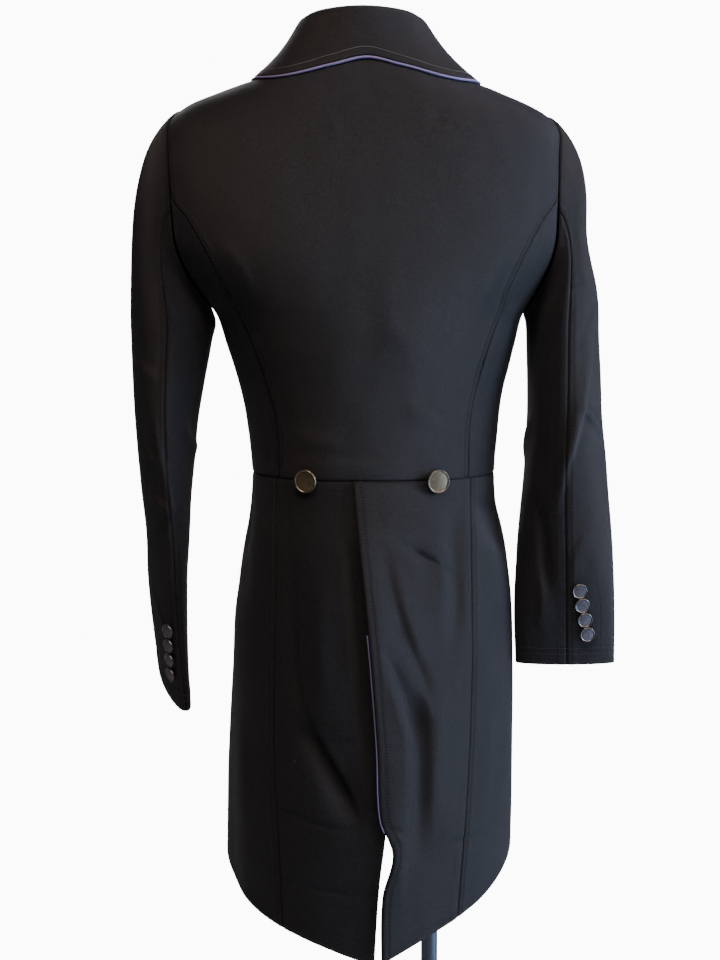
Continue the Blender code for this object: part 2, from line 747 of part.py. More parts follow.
def cuff_buttons(folder, side):
    """Four small buttons up a cuff, just outside the back seam."""
    low = (RIGHT_SLEEVE if side > 0 else LEFT_SLEEVE)[0].z
    for i in range(4):
        z = low + 0.034 + CUFF_BUTTON_PITCH * i
        turn = math.radians((66.0 if side > 0 else 54.0) + 3.0 * i)
        down = CAP_SHARE + (1.0 - CAP_SHARE) * (CAP_END_Z - z) / (CAP_END_Z - low)
        here = sleeve(side, turn, down)
        facing = outward(lambda a, b: sleeve(side, a, b), turn, down, side)
        place = here + facing * (0.5 * CLOTH + 0.0011)
        name = "cuff_button_%s_%d" % (side_name(side), i + 1)
        button(folder, name, place, facing, CUFF_BUTTON_R, 0.0032)


def front_buttons(folder):
    """Two rows of three on the wrapped front."""
    count = 0
    for z in (1.050, 1.100, 1.150):
        for x in (-0.042, 0.042):
            count += 1
            angle = math.pi - ring_angle(BODICE, x, z)
            facing = outward(bodice, angle, z)
            lift = FRONT_LIFT + 0.5 * CLOTH + 0.0016
            place = bodice(angle, z) + facing * lift
            button(folder, "front_button_%d" % count, place, facing, FRONT_BUTTON_R, 0.0042)


def form_ring(rows, h, clear, limit):
    """A ring of the dress form, clear inside the coat."""
    ring = read(rows, h)
    half = min(ring.half - clear, limit)
    return ring._replace(
        half=half,
        back=ring.back - clear,
        front=ring.front - clear,
        side_z=ring.side_z - 0.5 * clear,
        back_z=ring.back_z - 0.5 * clear,
        front_z=ring.front_z - 0.5 * clear,
    )


def ring_loop(ring, count):
    """The points round one ring."""
    loop = []
    for k in range(count):
        same = [ring, ring._replace(h=ring.h + 1.0)]
        loop.append(dropped(ring_point(same, 2.0 * math.pi * k / count, ring.h)))
    return loop


def loft(folder, name, loops, look):
    """A closed solid through loops of equal count, flat at both ends."""
    body = bmesh.new()
    rings = [[body.verts.new(p) for p in loop] for loop in loops]
    count = len(rings[0])
    for low, high in zip(rings, rings[1:]):
        for k in range(count):
            n = (k + 1) % count
            body.faces.new((low[k], low[n], high[n], high[k]))
    body.faces.new(rings[0])
    body.faces.new(rings[-1])
    return finish_mesh(folder, name, body, look)


def form_torso(folder):
    """The dress form's smooth body, inside the coat."""
    loops = []
    bottom = form_ring(TAILS, 0.890, FORM_CLEAR + 0.006, 1.0)
    loops.append(ring_loop(bottom._replace(half=bottom.half - 0.020, back=bottom.back - 0.018,
                                           front=bottom.front - 0.018, side_z=FORM_LOW_Z,
                                           back_z=FORM_LOW_Z, front_z=FORM_LOW_Z), 28))
    for h in (0.885, 0.920, 0.965, 1.000):
        loops.append(ring_loop(form_ring(TAILS, h, FORM_CLEAR + 0.006, 1.0), 28))
    for h in (1.035, 1.085, 1.140, 1.190, 1.230, 1.270, 1.310, 1.350, 1.380):
        loops.append(ring_loop(form_ring(BODICE, h, FORM_CLEAR, 0.172), 28))
    for h in (1.396, 1.410, 1.424):
        loops.append(ring_loop(form_ring(BODICE, h, FORM_CLEAR + 0.004, 0.155), 28))
    neck = form_ring(BODICE, 1.436, FORM_CLEAR + 0.010, 0.062)
    loops.append(ring_loop(neck._replace(half=0.062, back=0.046, front=0.046), 28))
    loops.append(ring_loop(neck._replace(half=0.056, back=0.041, front=0.042, side_z=NECK_TOP_Z - 0.006,
                                         back_z=NECK_TOP_Z - 0.006, front_z=NECK_TOP_Z - 0.006), 28))
    return loft(folder, "form_torso", loops, LINEN)


def form_neck_cap(folder):
    """A thin turned cap on the form's neck."""
    outline = [(0.0, 0.010), (0.020, 0.009), (0.036, 0.006), (0.040, 0.003), (0.038, 0.0), (0.0, 0.0)]
    thing = turned(folder, "form_neck_cap", outline, STEEL, 28)
    thing.location = (COAT_X - 0.001, 0.0, NECK_TOP_Z - 0.0057)
    return thing


def stand(folder):
    """The pole and the round base."""
    low = BASE_H + 0.0003
    high = FORM_LOW_Z - 0.0003
    bpy.ops.mesh.primitive_cylinder_add(vertices=24, radius=POLE_R, depth=high - low)
    pole = bpy.context.object
    pole.name = "stand_pole"
    pole.location = (0.0, 0.0, 0.5 * (low + high))
    pole.data.shade_smooth()
    pole.data.set_sharp_from_angle(angle=math.radians(40))
    keep(folder, pole, STEEL)
    outline = [
        (0.0, BASE_H), (0.030, BASE_H), (0.150, 0.010), (BASE_R - 0.004, 0.006),
        (BASE_R, 0.003), (BASE_R - 0.002, 0.0), (0.0, 0.0),
    ]
    turned(folder, "stand_base", outline, STEEL, 40)


def main():
    """Build every piece."""
    clear_scene()
    folder = new_collection("shadbelly")
    back_centre(folder)
    collar(folder)
    collar_piping(folder)
    for side in (-1, 1):
        side_back(folder, side)
        front(folder, side)
        lapel(folder, side)
        tail_back(folder, side)
        tail_side(folder, side)
        sleeves(folder, side)
        cuff_buttons(folder, side)
    vent_piping(folder)
    waist_buttons(folder)
    front_buttons(folder)
    form_torso(folder)
    form_neck_cap(folder)
    stand(folder)


main()
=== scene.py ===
"""Finishes a shadbelly on its dress form: cloth, creases, stitching, piping, buttons and stand.

Units are metres. +Z is up, +Y is the coat's front and +X is the wearer's right. A side is 1 on
the wearer's right and -1 on the left.
"""

import math
from collections import namedtuple

import bpy
import numpy as np
from bpy.props import FloatProperty, FloatVectorProperty, IntProperty, PointerProperty
from bpy.types import Operator, Panel, PropertyGroup
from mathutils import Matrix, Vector


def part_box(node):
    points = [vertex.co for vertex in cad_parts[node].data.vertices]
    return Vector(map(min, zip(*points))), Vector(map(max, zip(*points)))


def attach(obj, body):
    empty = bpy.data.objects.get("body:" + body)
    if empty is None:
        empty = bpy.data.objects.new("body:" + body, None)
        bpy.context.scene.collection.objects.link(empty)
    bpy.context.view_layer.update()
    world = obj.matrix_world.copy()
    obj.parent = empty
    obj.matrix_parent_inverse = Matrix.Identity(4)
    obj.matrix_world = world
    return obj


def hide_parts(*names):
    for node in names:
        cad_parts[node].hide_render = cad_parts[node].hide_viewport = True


bl_info = {
    "name": "Shadbelly finish",
    "version": (1, 0, 0),
    "blender": (4, 5, 0),
    "location": "3D View > Sidebar > Shadbelly",
    "description": "Cloth, stitching, piping and buttons of a dressage tailcoat on its form",
    "category": "Object",
}

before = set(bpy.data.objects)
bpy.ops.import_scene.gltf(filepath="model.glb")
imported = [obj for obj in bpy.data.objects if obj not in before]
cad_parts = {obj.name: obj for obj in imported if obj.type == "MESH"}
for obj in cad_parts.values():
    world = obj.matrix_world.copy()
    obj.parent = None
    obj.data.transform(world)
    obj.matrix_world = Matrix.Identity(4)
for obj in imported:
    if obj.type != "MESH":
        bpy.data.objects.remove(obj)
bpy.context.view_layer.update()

SIDES = {-1: "left", 1: "right"}

# Where the coat is, and the levels of its waist, shoulders and neck
COAT_X = -0.0675
WAIST_Z = 1.02
SHOULDER_H = 1.392
NECK_H = 1.445
SHOULDER_DROP = 0.006

# Cloth: half of the gap at a seam, layers, and how far thread and cord lie off it
SEAM_GAP = 0.0001
HALF_CLOTH = 0.0008
LAYER = 0.0026
COLLAR_THICKNESS = 0.0022
LAID_LIFT = 0.0002
PIPING_GAP = 0.0008
VENT_PIPING_Z = (0.868, 0.662)
VENT_PIPING_SHARE = 0.52
CUFF_STITCHES = (0.012, 0.018)
TAIL_HEM_STITCHES = 0.0034

# The draw of each kind of panel's soft unevenness
SEEDS = {
    "back": 3, "collar": 5, "side_back": 11, "front": 21, "tail": 31, "lapel": 41, "sleeve": 57,
}

# Fronts: how far they wrap, their roll lines and the lapels turned back on them
WRAP = 0.055
BREAK_Z = 1.17
ROLL_TOP_X = 0.076
ROLL_TOP_Z = 1.405
FRONT_LIFT = 0.0058
LAPEL_TOP_Z = 1.372
LAPEL_WIDTH = 0.066

# Sleeves: their rounded caps, and the dent in the right one
CAP_SHARE = 0.3
CAP_END_Z = 1.17
CAP = {-1: 0.78, 1: 0.66}
CAP_DENT = 0.009
DENT_Z = 1.262
SLEEVE_RADIUS = 0.055

# Buttons: radius, height, and how far each kind stands off the cloth
WAIST_BUTTON = (0.012, 0.0045)
WAIST_BUTTON_X = {-1: -0.067, 1: 0.063}
WAIST_BUTTON_OFF = 0.003
CUFF_BUTTON = (0.0078, 0.0032)
CUFF_BUTTON_RISE = 0.034
CUFF_BUTTON_PITCH = 0.0156
CUFF_BUTTON_TURN = {-1: 54.0, 1: 66.0}
CUFF_BUTTON_TWIST = 3.0
CUFF_BUTTON_OFF = 0.0011
FRONT_BUTTON = (0.011, 0.0042)
FRONT_BUTTON_X = (-0.042, 0.042)
FRONT_BUTTON_Z = (1.05, 1.1, 1.15)
FRONT_BUTTON_OFF = 0.0016

# Dress form: how far inside the coat it stays, its waist, shoulders and neck
FORM_CLEAR = 0.0034
FORM_LOW_Z = 0.87
FORM_HALF = 0.172
FORM_NECK_HALF = 0.062
FORM_NECK_DEPTH = 0.046
FORM_SIDES = 96
NECK_TOP_Z = 1.474
POLE_RADIUS = 0.009

# Fixed colours: specks of lint, the twill's sheen, a button's worn rim
LINT = (0.2, 0.2, 0.21)
SHEEN = (0.62, 0.66, 0.8)
WORN_METAL = (0.2, 0.18, 0.16)
WHITE = (1.0, 1.0, 1.0)

# Camera: lens, distance behind the coat, height and how far it looks down
LENS = 71.84
CAMERA_Y = -2.01
CAMERA_Z = 1.27
CAMERA_DIP = 7.377

# Pressed seams: the dip at the line, and the piece of cloth that lies proud beside it
SEAM_DIP = 0.0013
SEAM_LINE = 0.0008
SEAM_PROUD = 0.0115
CLOTH_EDGE = 0.0009
WORN_EDGE = 0.003

# A ring's columns: level, side, back and front heights, half width, depths, lean, squareness
H, SIDE_Z, BACK_Z, FRONT_Z, HALF, BACK, FRONT, LEAN, SQUARE = range(9)


def rings(*rows):
    """Rings from level, half width, depths, lean, squareness and any heights that aren't level."""
    return np.array([(row[0], *(row[6:] or (row[0],) * 3), *row[1:6]) for row in rows])


BODICE = rings(
    (1.02, 0.126, 0.092, 0.1, 0.006, 0.92),
    (1.057, 0.1297, 0.094, 0.104, 0.006, 0.92),
    (1.107, 0.1362, 0.099, 0.115, 0.0045, 0.9),
    (1.158, 0.1504, 0.106, 0.127, 0.003, 0.86),
    (1.19, 0.16, 0.11, 0.13, 0.0015, 0.83),
    (1.212, 0.178, 0.112, 0.13, 0.0, 0.81),
    (1.25, 0.205, 0.114, 0.127, -0.002, 0.8),
    (1.29, 0.2145, 0.113, 0.118, -0.003, 0.8),
    (1.33, 0.214, 0.109, 0.106, -0.004, 0.8),
    (1.37, 0.206, 0.101, 0.092, -0.004, 0.8),
    (1.392, 0.199, 0.094, 0.082, -0.004, 0.8, 1.392, 1.392, 1.39),
    (1.401, 0.184, 0.088, 0.076, -0.0035, 0.84, 1.404, 1.404, 1.396),
    (1.414, 0.145, 0.078, 0.068, -0.003, 0.88, 1.414, 1.42, 1.401),
    (1.427, 0.112, 0.068, 0.061, -0.002, 0.92, 1.421, 1.435, 1.403),
    (1.437, 0.09, 0.061, 0.057, -0.001, 0.96, 1.428, 1.446, 1.403),
    (1.445, 0.078, 0.056, 0.054, -0.001, 1.0, 1.434, 1.453, 1.402),
)
TAILS = rings(
    (0.5, 0.149, 0.104, 0.09, 0.002, 0.95),
    (0.585, 0.151, 0.108, 0.094, 0.0025, 0.94),
    (0.64, 0.1521, 0.111, 0.096, 0.0035, 0.93),
    (0.745, 0.1511, 0.114, 0.098, 0.005, 0.92),
    (0.85, 0.1475, 0.116, 0.1, 0.0058, 0.91),
    (0.902, 0.1443, 0.114, 0.101, 0.006, 0.91),
    (0.954, 0.1375, 0.107, 0.101, 0.006, 0.91),
    (0.99, 0.129, 0.098, 0.1, 0.006, 0.92),
    (1.02, 0.126, 0.092, 0.1, 0.006, 0.92),
)

# Armholes: their middle, half height and depths
ARMHOLE_LOW_Z = 1.19
ARMHOLE_MIDDLE = 0.5 * (ARMHOLE_LOW_Z + SHOULDER_H)
ARMHOLE_REACH = 0.5 * (SHOULDER_H - ARMHOLE_LOW_Z)
ARMHOLE_DEPTH = {BACK: 0.062, FRONT: 0.055}

# Where the long seams run: height, then sideways from the ring's centre
BACK_SEAM_BEND = 1.284
BACK_SEAM_TOP = 1.314
BACK_SEAM = np.array([
    (1.02, 0.096), (1.08, 0.0985), (1.115, 0.106), (1.165, 0.122), (1.215, 0.1425), (1.26, 0.165),
    (1.3, 0.188), (1.316, 0.1955),
])
TAIL_SEAM = np.array([(0.5, 0.088), (0.6, 0.093), (0.76, 0.101), (1.02, 0.0985)])
VENT = {
    -1: np.array([(0.5, 0.004), (0.604, 0.0095), (0.656, 0.0145), (0.8, 0.023), (1.02, 0.024)]),
    1: np.array([
        (0.5, 0.0125), (0.59, 0.0125), (0.637, 0.0215), (0.676, 0.0085), (0.753, 0.004),
        (0.84, -0.003), (0.932, -0.012), (1.02, -0.021),
    ]),
}

# The tails' largest folds in millimetres: top and low ends, width, and how far each stands out
FOLDS = {
    -1: [
        (-82, 950, -68, 770, 16, -3.5), (-68, 790, -12, 660, 20, -5),
        (-128, 1005, -134, 860, 10, -3.5), (-50, 900, -35, 600, 26, 3),
    ],
    1: [
        (54, 880, 58, 600, 16, -5), (40, 985, 68, 900, 14, -3), (90, 1000, 92, 840, 12, -3),
        (118, 1005, 132, 940, 10, -4.5), (30, 820, 34, 560, 18, 3.5),
    ],
}
TIP_Z = {-1: 0.516, 1: 0.514}
HEM_RISE = {-1: 0.094, 1: 0.13}

# Each sleeve's sections: height, centre, half sizes, turn in degrees, front rise
SLEEVE = {
    -1: np.array([
        (0.783, 0.2105, 0.03, 0.012, 0.055, 19.0, 0.018),
        (0.85, 0.2135, 0.022, 0.016, 0.0565, 16.0, 0.012),
        (0.9, 0.2145, 0.016, 0.0185, 0.058, 14.0, 0.008),
        (0.953, 0.213, 0.01, 0.0215, 0.06, 11.0, 0.004),
        (1.005, 0.213, 0.006, 0.0265, 0.062, 7.0, 0.002),
        (1.082, 0.211, 0.003, 0.0338, 0.064, 3.0, 0.0),
        (1.17, 0.204, 0.002, 0.0425, 0.063, 0.0, 0.0),
    ]),
    1: np.array([
        (0.82, 0.2085, -0.03, 0.052, 0.0135, 0.0, 0.0),
        (0.876, 0.207, -0.03, 0.052, 0.019, 0.0, 0.0),
        (0.928, 0.207, -0.025, 0.05, 0.029, -3.0, 0.0),
        (0.98, 0.207, -0.018, 0.0465, 0.041, -5.0, 0.0),
        (1.031, 0.2075, -0.01, 0.042, 0.052, -5.0, 0.0),
        (1.082, 0.207, -0.004, 0.0385, 0.059, -3.0, 0.0),
        (1.17, 0.204, 0.002, 0.0367, 0.063, 0.0, 0.0),
    ]),
}
CUFF_Z = {side: rows[0][0] for side, rows in SLEEVE.items()}

# The collar from centre back to a gorge: neck seam, fold, and its edge on the bodice
COLLAR = np.array([
    (-0.2, -0.034, -0.051, 1.4545, -0.03, -0.045, 1.4935, -17.0, 1.428),
    (0.0, 0.0, -0.0565, 1.457, 0.0, -0.052, 1.495, 0.0, 1.4345),
    (0.2, 0.034, -0.051, 1.4545, 0.03, -0.045, 1.4935, 17.0, 1.428),
    (0.42, 0.06, -0.033, 1.449, 0.053, -0.027, 1.4895, 38.0, 1.42),
    (0.62, 0.075, -0.003, 1.441, 0.065, 0.004, 1.481, 72.0, 1.426),
    (0.82, 0.076, 0.03, 1.433, 0.069, 0.038, 1.46, 108.0, 1.426),
    (1.0, 0.0765, 0.06, 1.412, 0.074, 0.066, 1.426, 142.0, 1.412),
])
COLLAR_FOLD_R = 0.003
COLLAR_LIFT = 0.0048
COLLAR_TUCK = 0.0014
COLLAR_HOLLOW = 0.13
COLLAR_LEAN = -0.006

Crease = namedtuple("Crease", "near far depth line")


def creases(*rows, across=1000.0):
    """Creases from rows in millimetres: width on both sides, depth, then the line's points."""
    found = []
    for near, far, depth, *line in rows:
        points = [(u / across, w / 1000.0) for u, w in zip(line[::2], line[1::2])]
        found.append(Crease(near / 1000.0, far / 1000.0, depth / 1000.0, points))
    return found


BACK_CREASES = creases(
    (4, 10, 0.9, -37, 1393, -31, 1370, -23, 1350),
    (4, 9, -0.9, 77, 1392, 68, 1378, 58, 1366),
    (8, 18, 0.9, 8, 1186, 45, 1158, 82, 1124),
    (5, 12, 1, 35, 1100, 56, 1088, 78, 1074),
    (6, 12, 0.8, -80, 1068, -50, 1060, -20, 1064),
    (7, 14, 1.3, -150, 1270, -125, 1235, -112, 1200),
    (6, 14, 1.3, 150, 1265, 124, 1225, 106, 1185),
    (12, 16, -0.3, -1, 1400, 1, 1250, 0, 1060),
    (6, 10, 0.9, -100, 1045, -60, 1036, 0, 1034, 80, 1040),
)
FRONT_CREASES = creases(
    (4, 10, 1.2, 80, 1075, 60, 1056, 45, 1046),
    (4, 10, 1.1, 110, 1110, 80, 1104, 52, 1100),
    (6, 14, 1.4, 130, 1240, 100, 1200, 72, 1165),
)
TAIL_CREASES = {
    -1: creases(
        (3, 8, -1.6, -77, 1007, -79, 955, -73, 920, -71, 860),
        (3, 9, -2.6, -72, 900, -71, 831, -66, 795, -55, 761),
        (3.6, 12, -5.6, -68, 800, -55, 761, -41, 736, -21, 699, -5, 660),
        (6, 6, 1.6, -56, 780, -40, 750, -18, 712),
        (2.6, 3.6, -1.1, -120, 688, -82, 677, -43, 666, 1, 662),
        (2.6, 3.4, -0.6, -92, 757, -39, 755, 6, 755),
        (2.6, 3.6, -0.9, -93, 606, -49, 597, 6, 588),
        (3, 7, -2.4, -120, 1004, -124, 971, -129, 924),
        (6, 11, 1.4, -132, 780, -128, 700, -130, 640),
        (12, 12, 1.4, -45, 940, -50, 850, -40, 790),
        (13, 6, -3.2, -25, 1010, -19, 942, -13, 880, -7, 818, -3, 756, 0, 690),
    ),
    1: creases(
        (2.8, 8.5, -2.6, 14, 977, 41, 955, 62, 942, 97, 920),
        (5.5, 5, 1.4, 30, 980, 62, 958, 92, 941),
        (6, 14, -3, 4, 985, 18, 945, 28, 900, 39, 862, 53, 826, 64, 795),
        (8, 14, -1.5, 4, 990, 30, 942, 52, 905, 74, 862),
        (10, 4, -2.8, 12, 868, 26, 830, 38, 797, 47, 768, 50, 735),
        (12.5, 5, -3.8, 26, 850, 38, 808, 46, 770, 48, 735, 48, 690, 45, 640, 38, 580),
        (16, 16, 2.4, 54, 890, 57, 740, 58, 610),
        (4.5, 6, 1.2, 10, 846, 27, 800, 39, 760, 41, 700, 37, 640),
        (5, 12, 1, 28, 850, 50, 815, 73, 770),
        (9, 9, 1.2, 68, 860, 71, 790, 70, 720, 67, 640),
        (6, 12, -2, 89, 1014, 86, 950, 90, 890, 86, 820),
        (7, 8, 1, 78, 960, 77, 900, 74, 840),
        (2.6, 3.4, -0.8, 12, 752, 42, 751),
        (2.6, 3.6, -0.7, 14, 667, 46, 662),
        (2.6, 3.6, -1.2, 72, 643, 105, 647, 133, 657),
        (3.2, 9, -2.6, 126, 1014, 134, 975, 142, 930),
        (8, 11, 1.8, 112, 990, 130, 930, 136, 850),
        (8, 12, -1.4, 106, 850, 109, 760, 107, 660),
        (7, 11, 1.4, 122, 800, 125, 720, 120, 640),
    ),
}
# On a sleeve the line's points are a turn in degrees and a height
SLEEVE_CREASES = {
    -1: creases(
        (4, 10, 2.6, 68, 1106, 82, 1045, 96, 990, 86, 965, 48, 938),
        (6, 6, -1.8, 100, 1180, 84, 1140, 74, 1095),
        (4, 11, 1.6, 30, 1150, 60, 1128, 95, 1120),
        (3.5, 10, 1.8, 20, 1062, 55, 1044, 92, 1030),
        (3.5, 9, 1.8, 40, 1010, 70, 992, 110, 985),
        (4, 10, 1.8, 120, 1080, 150, 1050, 190, 1044),
        (4, 9, 1.6, 200, 1020, 240, 1000, 280, 1010),
        (4, 10, 1.8, -70, 1050, -35, 1034, 0, 1040),
        (4.5, 11, 1.3, 60, 940, 84, 905, 92, 860),
        (4, 11, 1.8, 140, 1210, 180, 1180, 225, 1175),
        (4.5, 11, 1, 10, 900, 34, 872, 50, 840),
        across=1.0),
    1: creases(
        (3, 9, 2.6, 80, 1098, 45, 1075, 12, 1050),
        (11, 5, 3.4, 40, 1200, 59, 1131, 72, 1083, 90, 1031, 107, 968),
        (7, 7, -3.4, 134, 1010, 118, 960, 110, 880),
        (3, 6, -1.4, 60, 1222, 78, 1214, 92, 1206),
        (4, 10, 2, 150, 1090, 175, 1050, 215, 1030),
        (3.5, 9, 1.8, 200, 1010, 240, 995, 280, 1004),
        (3.5, 10, 2, -60, 1060, -30, 1045, 0, 1052),
        (4, 11, 1.6, 30, 1200, 52, 1180, 74, 1140),
        (4, 11, 1.8, 150, 1220, 180, 1190, 220, 1180),
        (5, 12, 1.3, 60, 970, 80, 935, 84, 900),
        (5, 11, 1.2, 120, 930, 118, 890, 124, 850),
        across=1.0),
}
PLACKET = [(88, 0.935), (80, 0.93), (52, 0.921), (46, 0.893), (44, 0.862), (45, 0.838)]

# Distances of columns and rows from a panel's edge, close together where it rolls
EDGE_STEPS = np.array((
    0.0, 0.0003, 0.0007, 0.0012, 0.0019, 0.0028, 0.0037, 0.0042, 0.0047, 0.0054, 0.0066, 0.008,
    0.0086, 0.0093, 0.0106))

# Share of the mesh pitch that a kind of panel takes: fine where its creases are sharp
PITCH_SHARE = {"tail": 0.7, "front": 1.35, "side": 1.1, "lapel": 1.2}

# A button's outline and how worn each part of it is: domed face, raised rim, flat back
BUTTON = [
    (0.0, 0.89, 0.5), (0.06, 0.89, 0.4), (0.12, 0.885, 0.1), (0.25, 0.875, 0.0), (0.4, 0.86, 0.0),
    (0.55, 0.835, 0.0), (0.7, 0.8, 0.0), (0.8, 0.765, 0.0), (0.85, 0.75, 0.0), (0.87, 0.78, 0.1),
    (0.885, 0.86, 0.5), (0.905, 0.95, 0.9), (0.935, 0.985, 1.0), (0.965, 0.95, 0.9),
    (0.99, 0.82, 0.6), (1.0, 0.6, 0.4), (0.99, 0.4, 0.2), (0.95, 0.22, 0.0), (0.6, 0.12, 0.0),
    (0.3, 0.1, 0.0), (0.28, 0.0, 0.0), (0.0, 0.0, 0.0),
]

# Turned profiles, radius and height, from the top centre to the back centre
NECK_CAP = [
    (0.0, 0.01), (0.01, 0.0098), (0.02, 0.009), (0.029, 0.0077), (0.036, 0.0058),
    (0.0392, 0.004), (0.04, 0.0026), (0.0392, 0.0008), (0.038, 0.0), (0.0, 0.0),
]
STAND_BASE = [
    (0.0, 0.016), (0.014, 0.016), (0.026, 0.0158), (0.03, 0.0155), (0.06, 0.0142), (0.1, 0.0124),
    (0.15, 0.01), (0.175, 0.0078), (0.185, 0.0064), (0.1885, 0.0048), (0.19, 0.003),
    (0.1895, 0.0012), (0.188, 0.0), (0.0, 0.0),
]

# A panel's grids; edge holds the wear at its free edges, and the field after it the painted shade
# along seams and stitch rows.
Sheet = namedtuple("Sheet", "points inner normals first last low top edge sewn across down")
SEWN = {}


def size(name, description, default, low, high, precision=4):
    """A setting that is a length."""
    return FloatProperty(name=name, description=description, default=default, min=low, max=high,
                         unit="LENGTH", precision=precision)


def number(name, description, default, low, high, **kind):
    """A setting that is a plain number, a share or a power."""
    return FloatProperty(
        name=name, description=description, default=default, min=low, max=high, **kind)


def tint(name, description, default):
    """A setting that is a colour."""
    return FloatVectorProperty(name=name, description=description, default=default,
                               min=0.0, max=1.0, subtype="COLOR")


class ClothSettings(PropertyGroup):
    """Sizes and colour of the coat's cloth."""

    thickness: size("Thickness", "Thickness of the twill", 0.0016, 0.001, 0.003)
    pitch: size("Mesh pitch", "Distance between the cloth's mesh rows", 0.0036, 0.002, 0.01)
    seam_roll: size("Seam roll", "How far a pressed seam dips", 0.0009, 0.0, 0.002)
    crease: number(
        "Crease strength", "How strongly the creases show", 1.25, 0.0, 2.0, subtype="FACTOR")
    swell: size("Swell", "Height of the soft unevenness of hanging cloth", 0.0004, 0.0, 0.002, 5)
    colour: tint("Twill colour", "Base colour of the black twill", (0.01, 0.0096, 0.0116))
    wales: number("Twill wales", "Diagonal wales to the metre", 1250.0, 300.0, 3000.0)


class StitchSettings(PropertyGroup):
    """Sizes and colours of the topstitching."""

    length: size("Stitch length", "Length of one topstitch", 0.0021, 0.001, 0.006)
    pitch: size("Stitch pitch", "Distance from stitch to stitch", 0.0033, 0.0012, 0.008)
    radius: size("Thread radius", "Half of the thread's thickness", 0.00034, 0.0001, 0.0008, 5)
    seam_offset: size("Seam offset", "Distance of the topstitch from a seam", 0.0047, 0.001, 0.012)
    edge_offset: size(
        "Edge offset", "Distance of the topstitch from the collar's and vent's edge",
        0.0086, 0.001, 0.012)
    colour: tint("Thread colour", "Colour of the sewing thread", (0.058, 0.055, 0.056))
    # Painted highlight: the collar's thread is a lighter copy of the sewing thread, for the light
    # its stitches catch.
    collar_highlight_colour: tint(
        "Collar thread colour", "Colour of the finer thread on the collar", (0.32, 0.29, 0.25))


class TrimSettings(PropertyGroup):
    """Sizes and colours of the piping, buttons, form and stand."""

    piping_radius: size("Piping radius", "Half of the piping's thickness", 0.0013, 0.0008, 0.003)
    piping_colour: tint("Piping colour", "Lavender of the piping", (0.205, 0.172, 0.37))
    waist_colour: tint(
        "Waist button metal", "Antique pewter of the large buttons", (0.24, 0.188, 0.115))
    cuff_colour: tint("Cuff button metal", "Gunmetal of the small buttons", (0.2, 0.2, 0.235))
    linen_colour: tint("Form cover", "Linen of the dress form", (0.52, 0.49, 0.43))
    steel_colour: tint("Stand metal", "Blue-grey steel of the stand", (0.105, 0.125, 0.17))
    button_sides: IntProperty(
        name="Button sides", description="Sides of a turned button", default=48, min=12, max=96)


class StudioSettings(PropertyGroup):
    """Light and floor of the stage."""

    key_power: number(
        "Key light", "Power of the cool light from the right", 116.0, 0.0, 1000.0, unit="POWER")
    warm_power: number(
        "Warm light", "Power of the warm light from above", 42.0, 0.0, 1000.0, unit="POWER")
    front_power: number(
        "Front light", "Power of the light on the coat's front", 34.0, 0.0, 1000.0, unit="POWER")
    world_light: number("Room light", "Strength of the even light all round", 0.02, 0.0, 5.0)
    backdrop: number(
        "Backdrop", "How bright the floor and room look to the camera", 14.0, 0.0, 40.0)
    floor_colour: tint("Floor", "Colour of the floor and backdrop", (0.45, 0.45, 0.45))


def smooth(value):
    """0 to 1 with soft ends."""
    value = np.clip(value, 0.0, 1.0)
    return value * value * (3.0 - 2.0 * value)


def bell(value):
    """1 at nothing, falling off on both sides."""
    return np.exp(-value ** 2)


def power(value, exponent):
    """A power that keeps its sign."""
    return np.sign(value) * np.abs(value) ** exponent


def vectors(x, y, z):
    """Points from their three coordinates."""
    return np.stack(np.broadcast_arrays(x, y, z), axis=-1).astype(float)


def unit(v):
    """Vectors of length one."""
    return v / np.maximum(np.linalg.norm(v, axis=-1, keepdims=True), 1e-12)


def cubic(a, b, leave, arrive, t):
    """A Hermite curve from a to b."""
    t2 = t * t
    t3 = t2 * t
    near = (2 * t3 - 3 * t2 + 1) * a + (t3 - 2 * t2 + t) * leave
    far = (3 * t2 - 2 * t3) * b + (t3 - t2) * arrive
    return near + far


def read(table, key):
    """A table's values at each key, on a smooth curve through its rows."""
    keys = table[:, 0]
    key = np.clip(np.asarray(key, dtype=float), keys[0], keys[-1])
    i = np.clip(np.searchsorted(keys, key, side="right") - 1, 0, len(keys) - 2)
    slopes = np.empty_like(table)
    slopes[1:-1] = (table[2:] - table[:-2]) / (keys[2:] - keys[:-2])[:, None]
    slopes[0] = (table[1] - table[0]) / (keys[1] - keys[0])
    slopes[-1] = (table[-1] - table[-2]) / (keys[-1] - keys[-2])
    span = (keys[i + 1] - keys[i])[..., None]
    t = ((key - keys[i])[..., None]) / span
    return cubic(table[i], table[i + 1], slopes[i] * span, slopes[i + 1] * span, t)


def ring_point(table, angle, h):
    """Points of the coat's surface: angle 0 is centre back, a quarter turn is the side."""
    ring = read(table, h)
    across = power(np.sin(angle), ring[..., SQUARE])
    along = power(np.cos(angle), ring[..., SQUARE])
    depth = np.where(along > 0, ring[..., BACK], ring[..., FRONT])
    level = np.where(along > 0, ring[..., BACK_Z], ring[..., FRONT_Z])
    z = ring[..., SIDE_Z] + (level - ring[..., SIDE_Z]) * np.cos(angle) ** 2
    return vectors(COAT_X + ring[..., LEAN] + ring[..., HALF] * across, -depth * along, z)


def ring_angle(table, x, h):
    """The angle at which a ring is x to the side of its centre."""
    ring = read(table, h)
    share = np.minimum(np.abs(x) / ring[..., HALF], 1.0)
    return np.sign(x) * np.arcsin(share ** (1.0 / ring[..., SQUARE]))


def outward(surface, a, b, sign=1.0):
    """A surface's normals, on the side that sign says."""
    small = 0.0005
    along_a = surface(a + small, b) - surface(a - small, b)
    along_b = surface(a, b + small) - surface(a, b - small)
    return unit(np.cross(along_a, along_b)) * sign


def lifted(surface, a, b, lift, sign=1.0):
    """Points of a surface, moved out by lift."""
    return surface(a, b) + outward(surface, a, b, sign) * np.asarray(lift)[..., None]


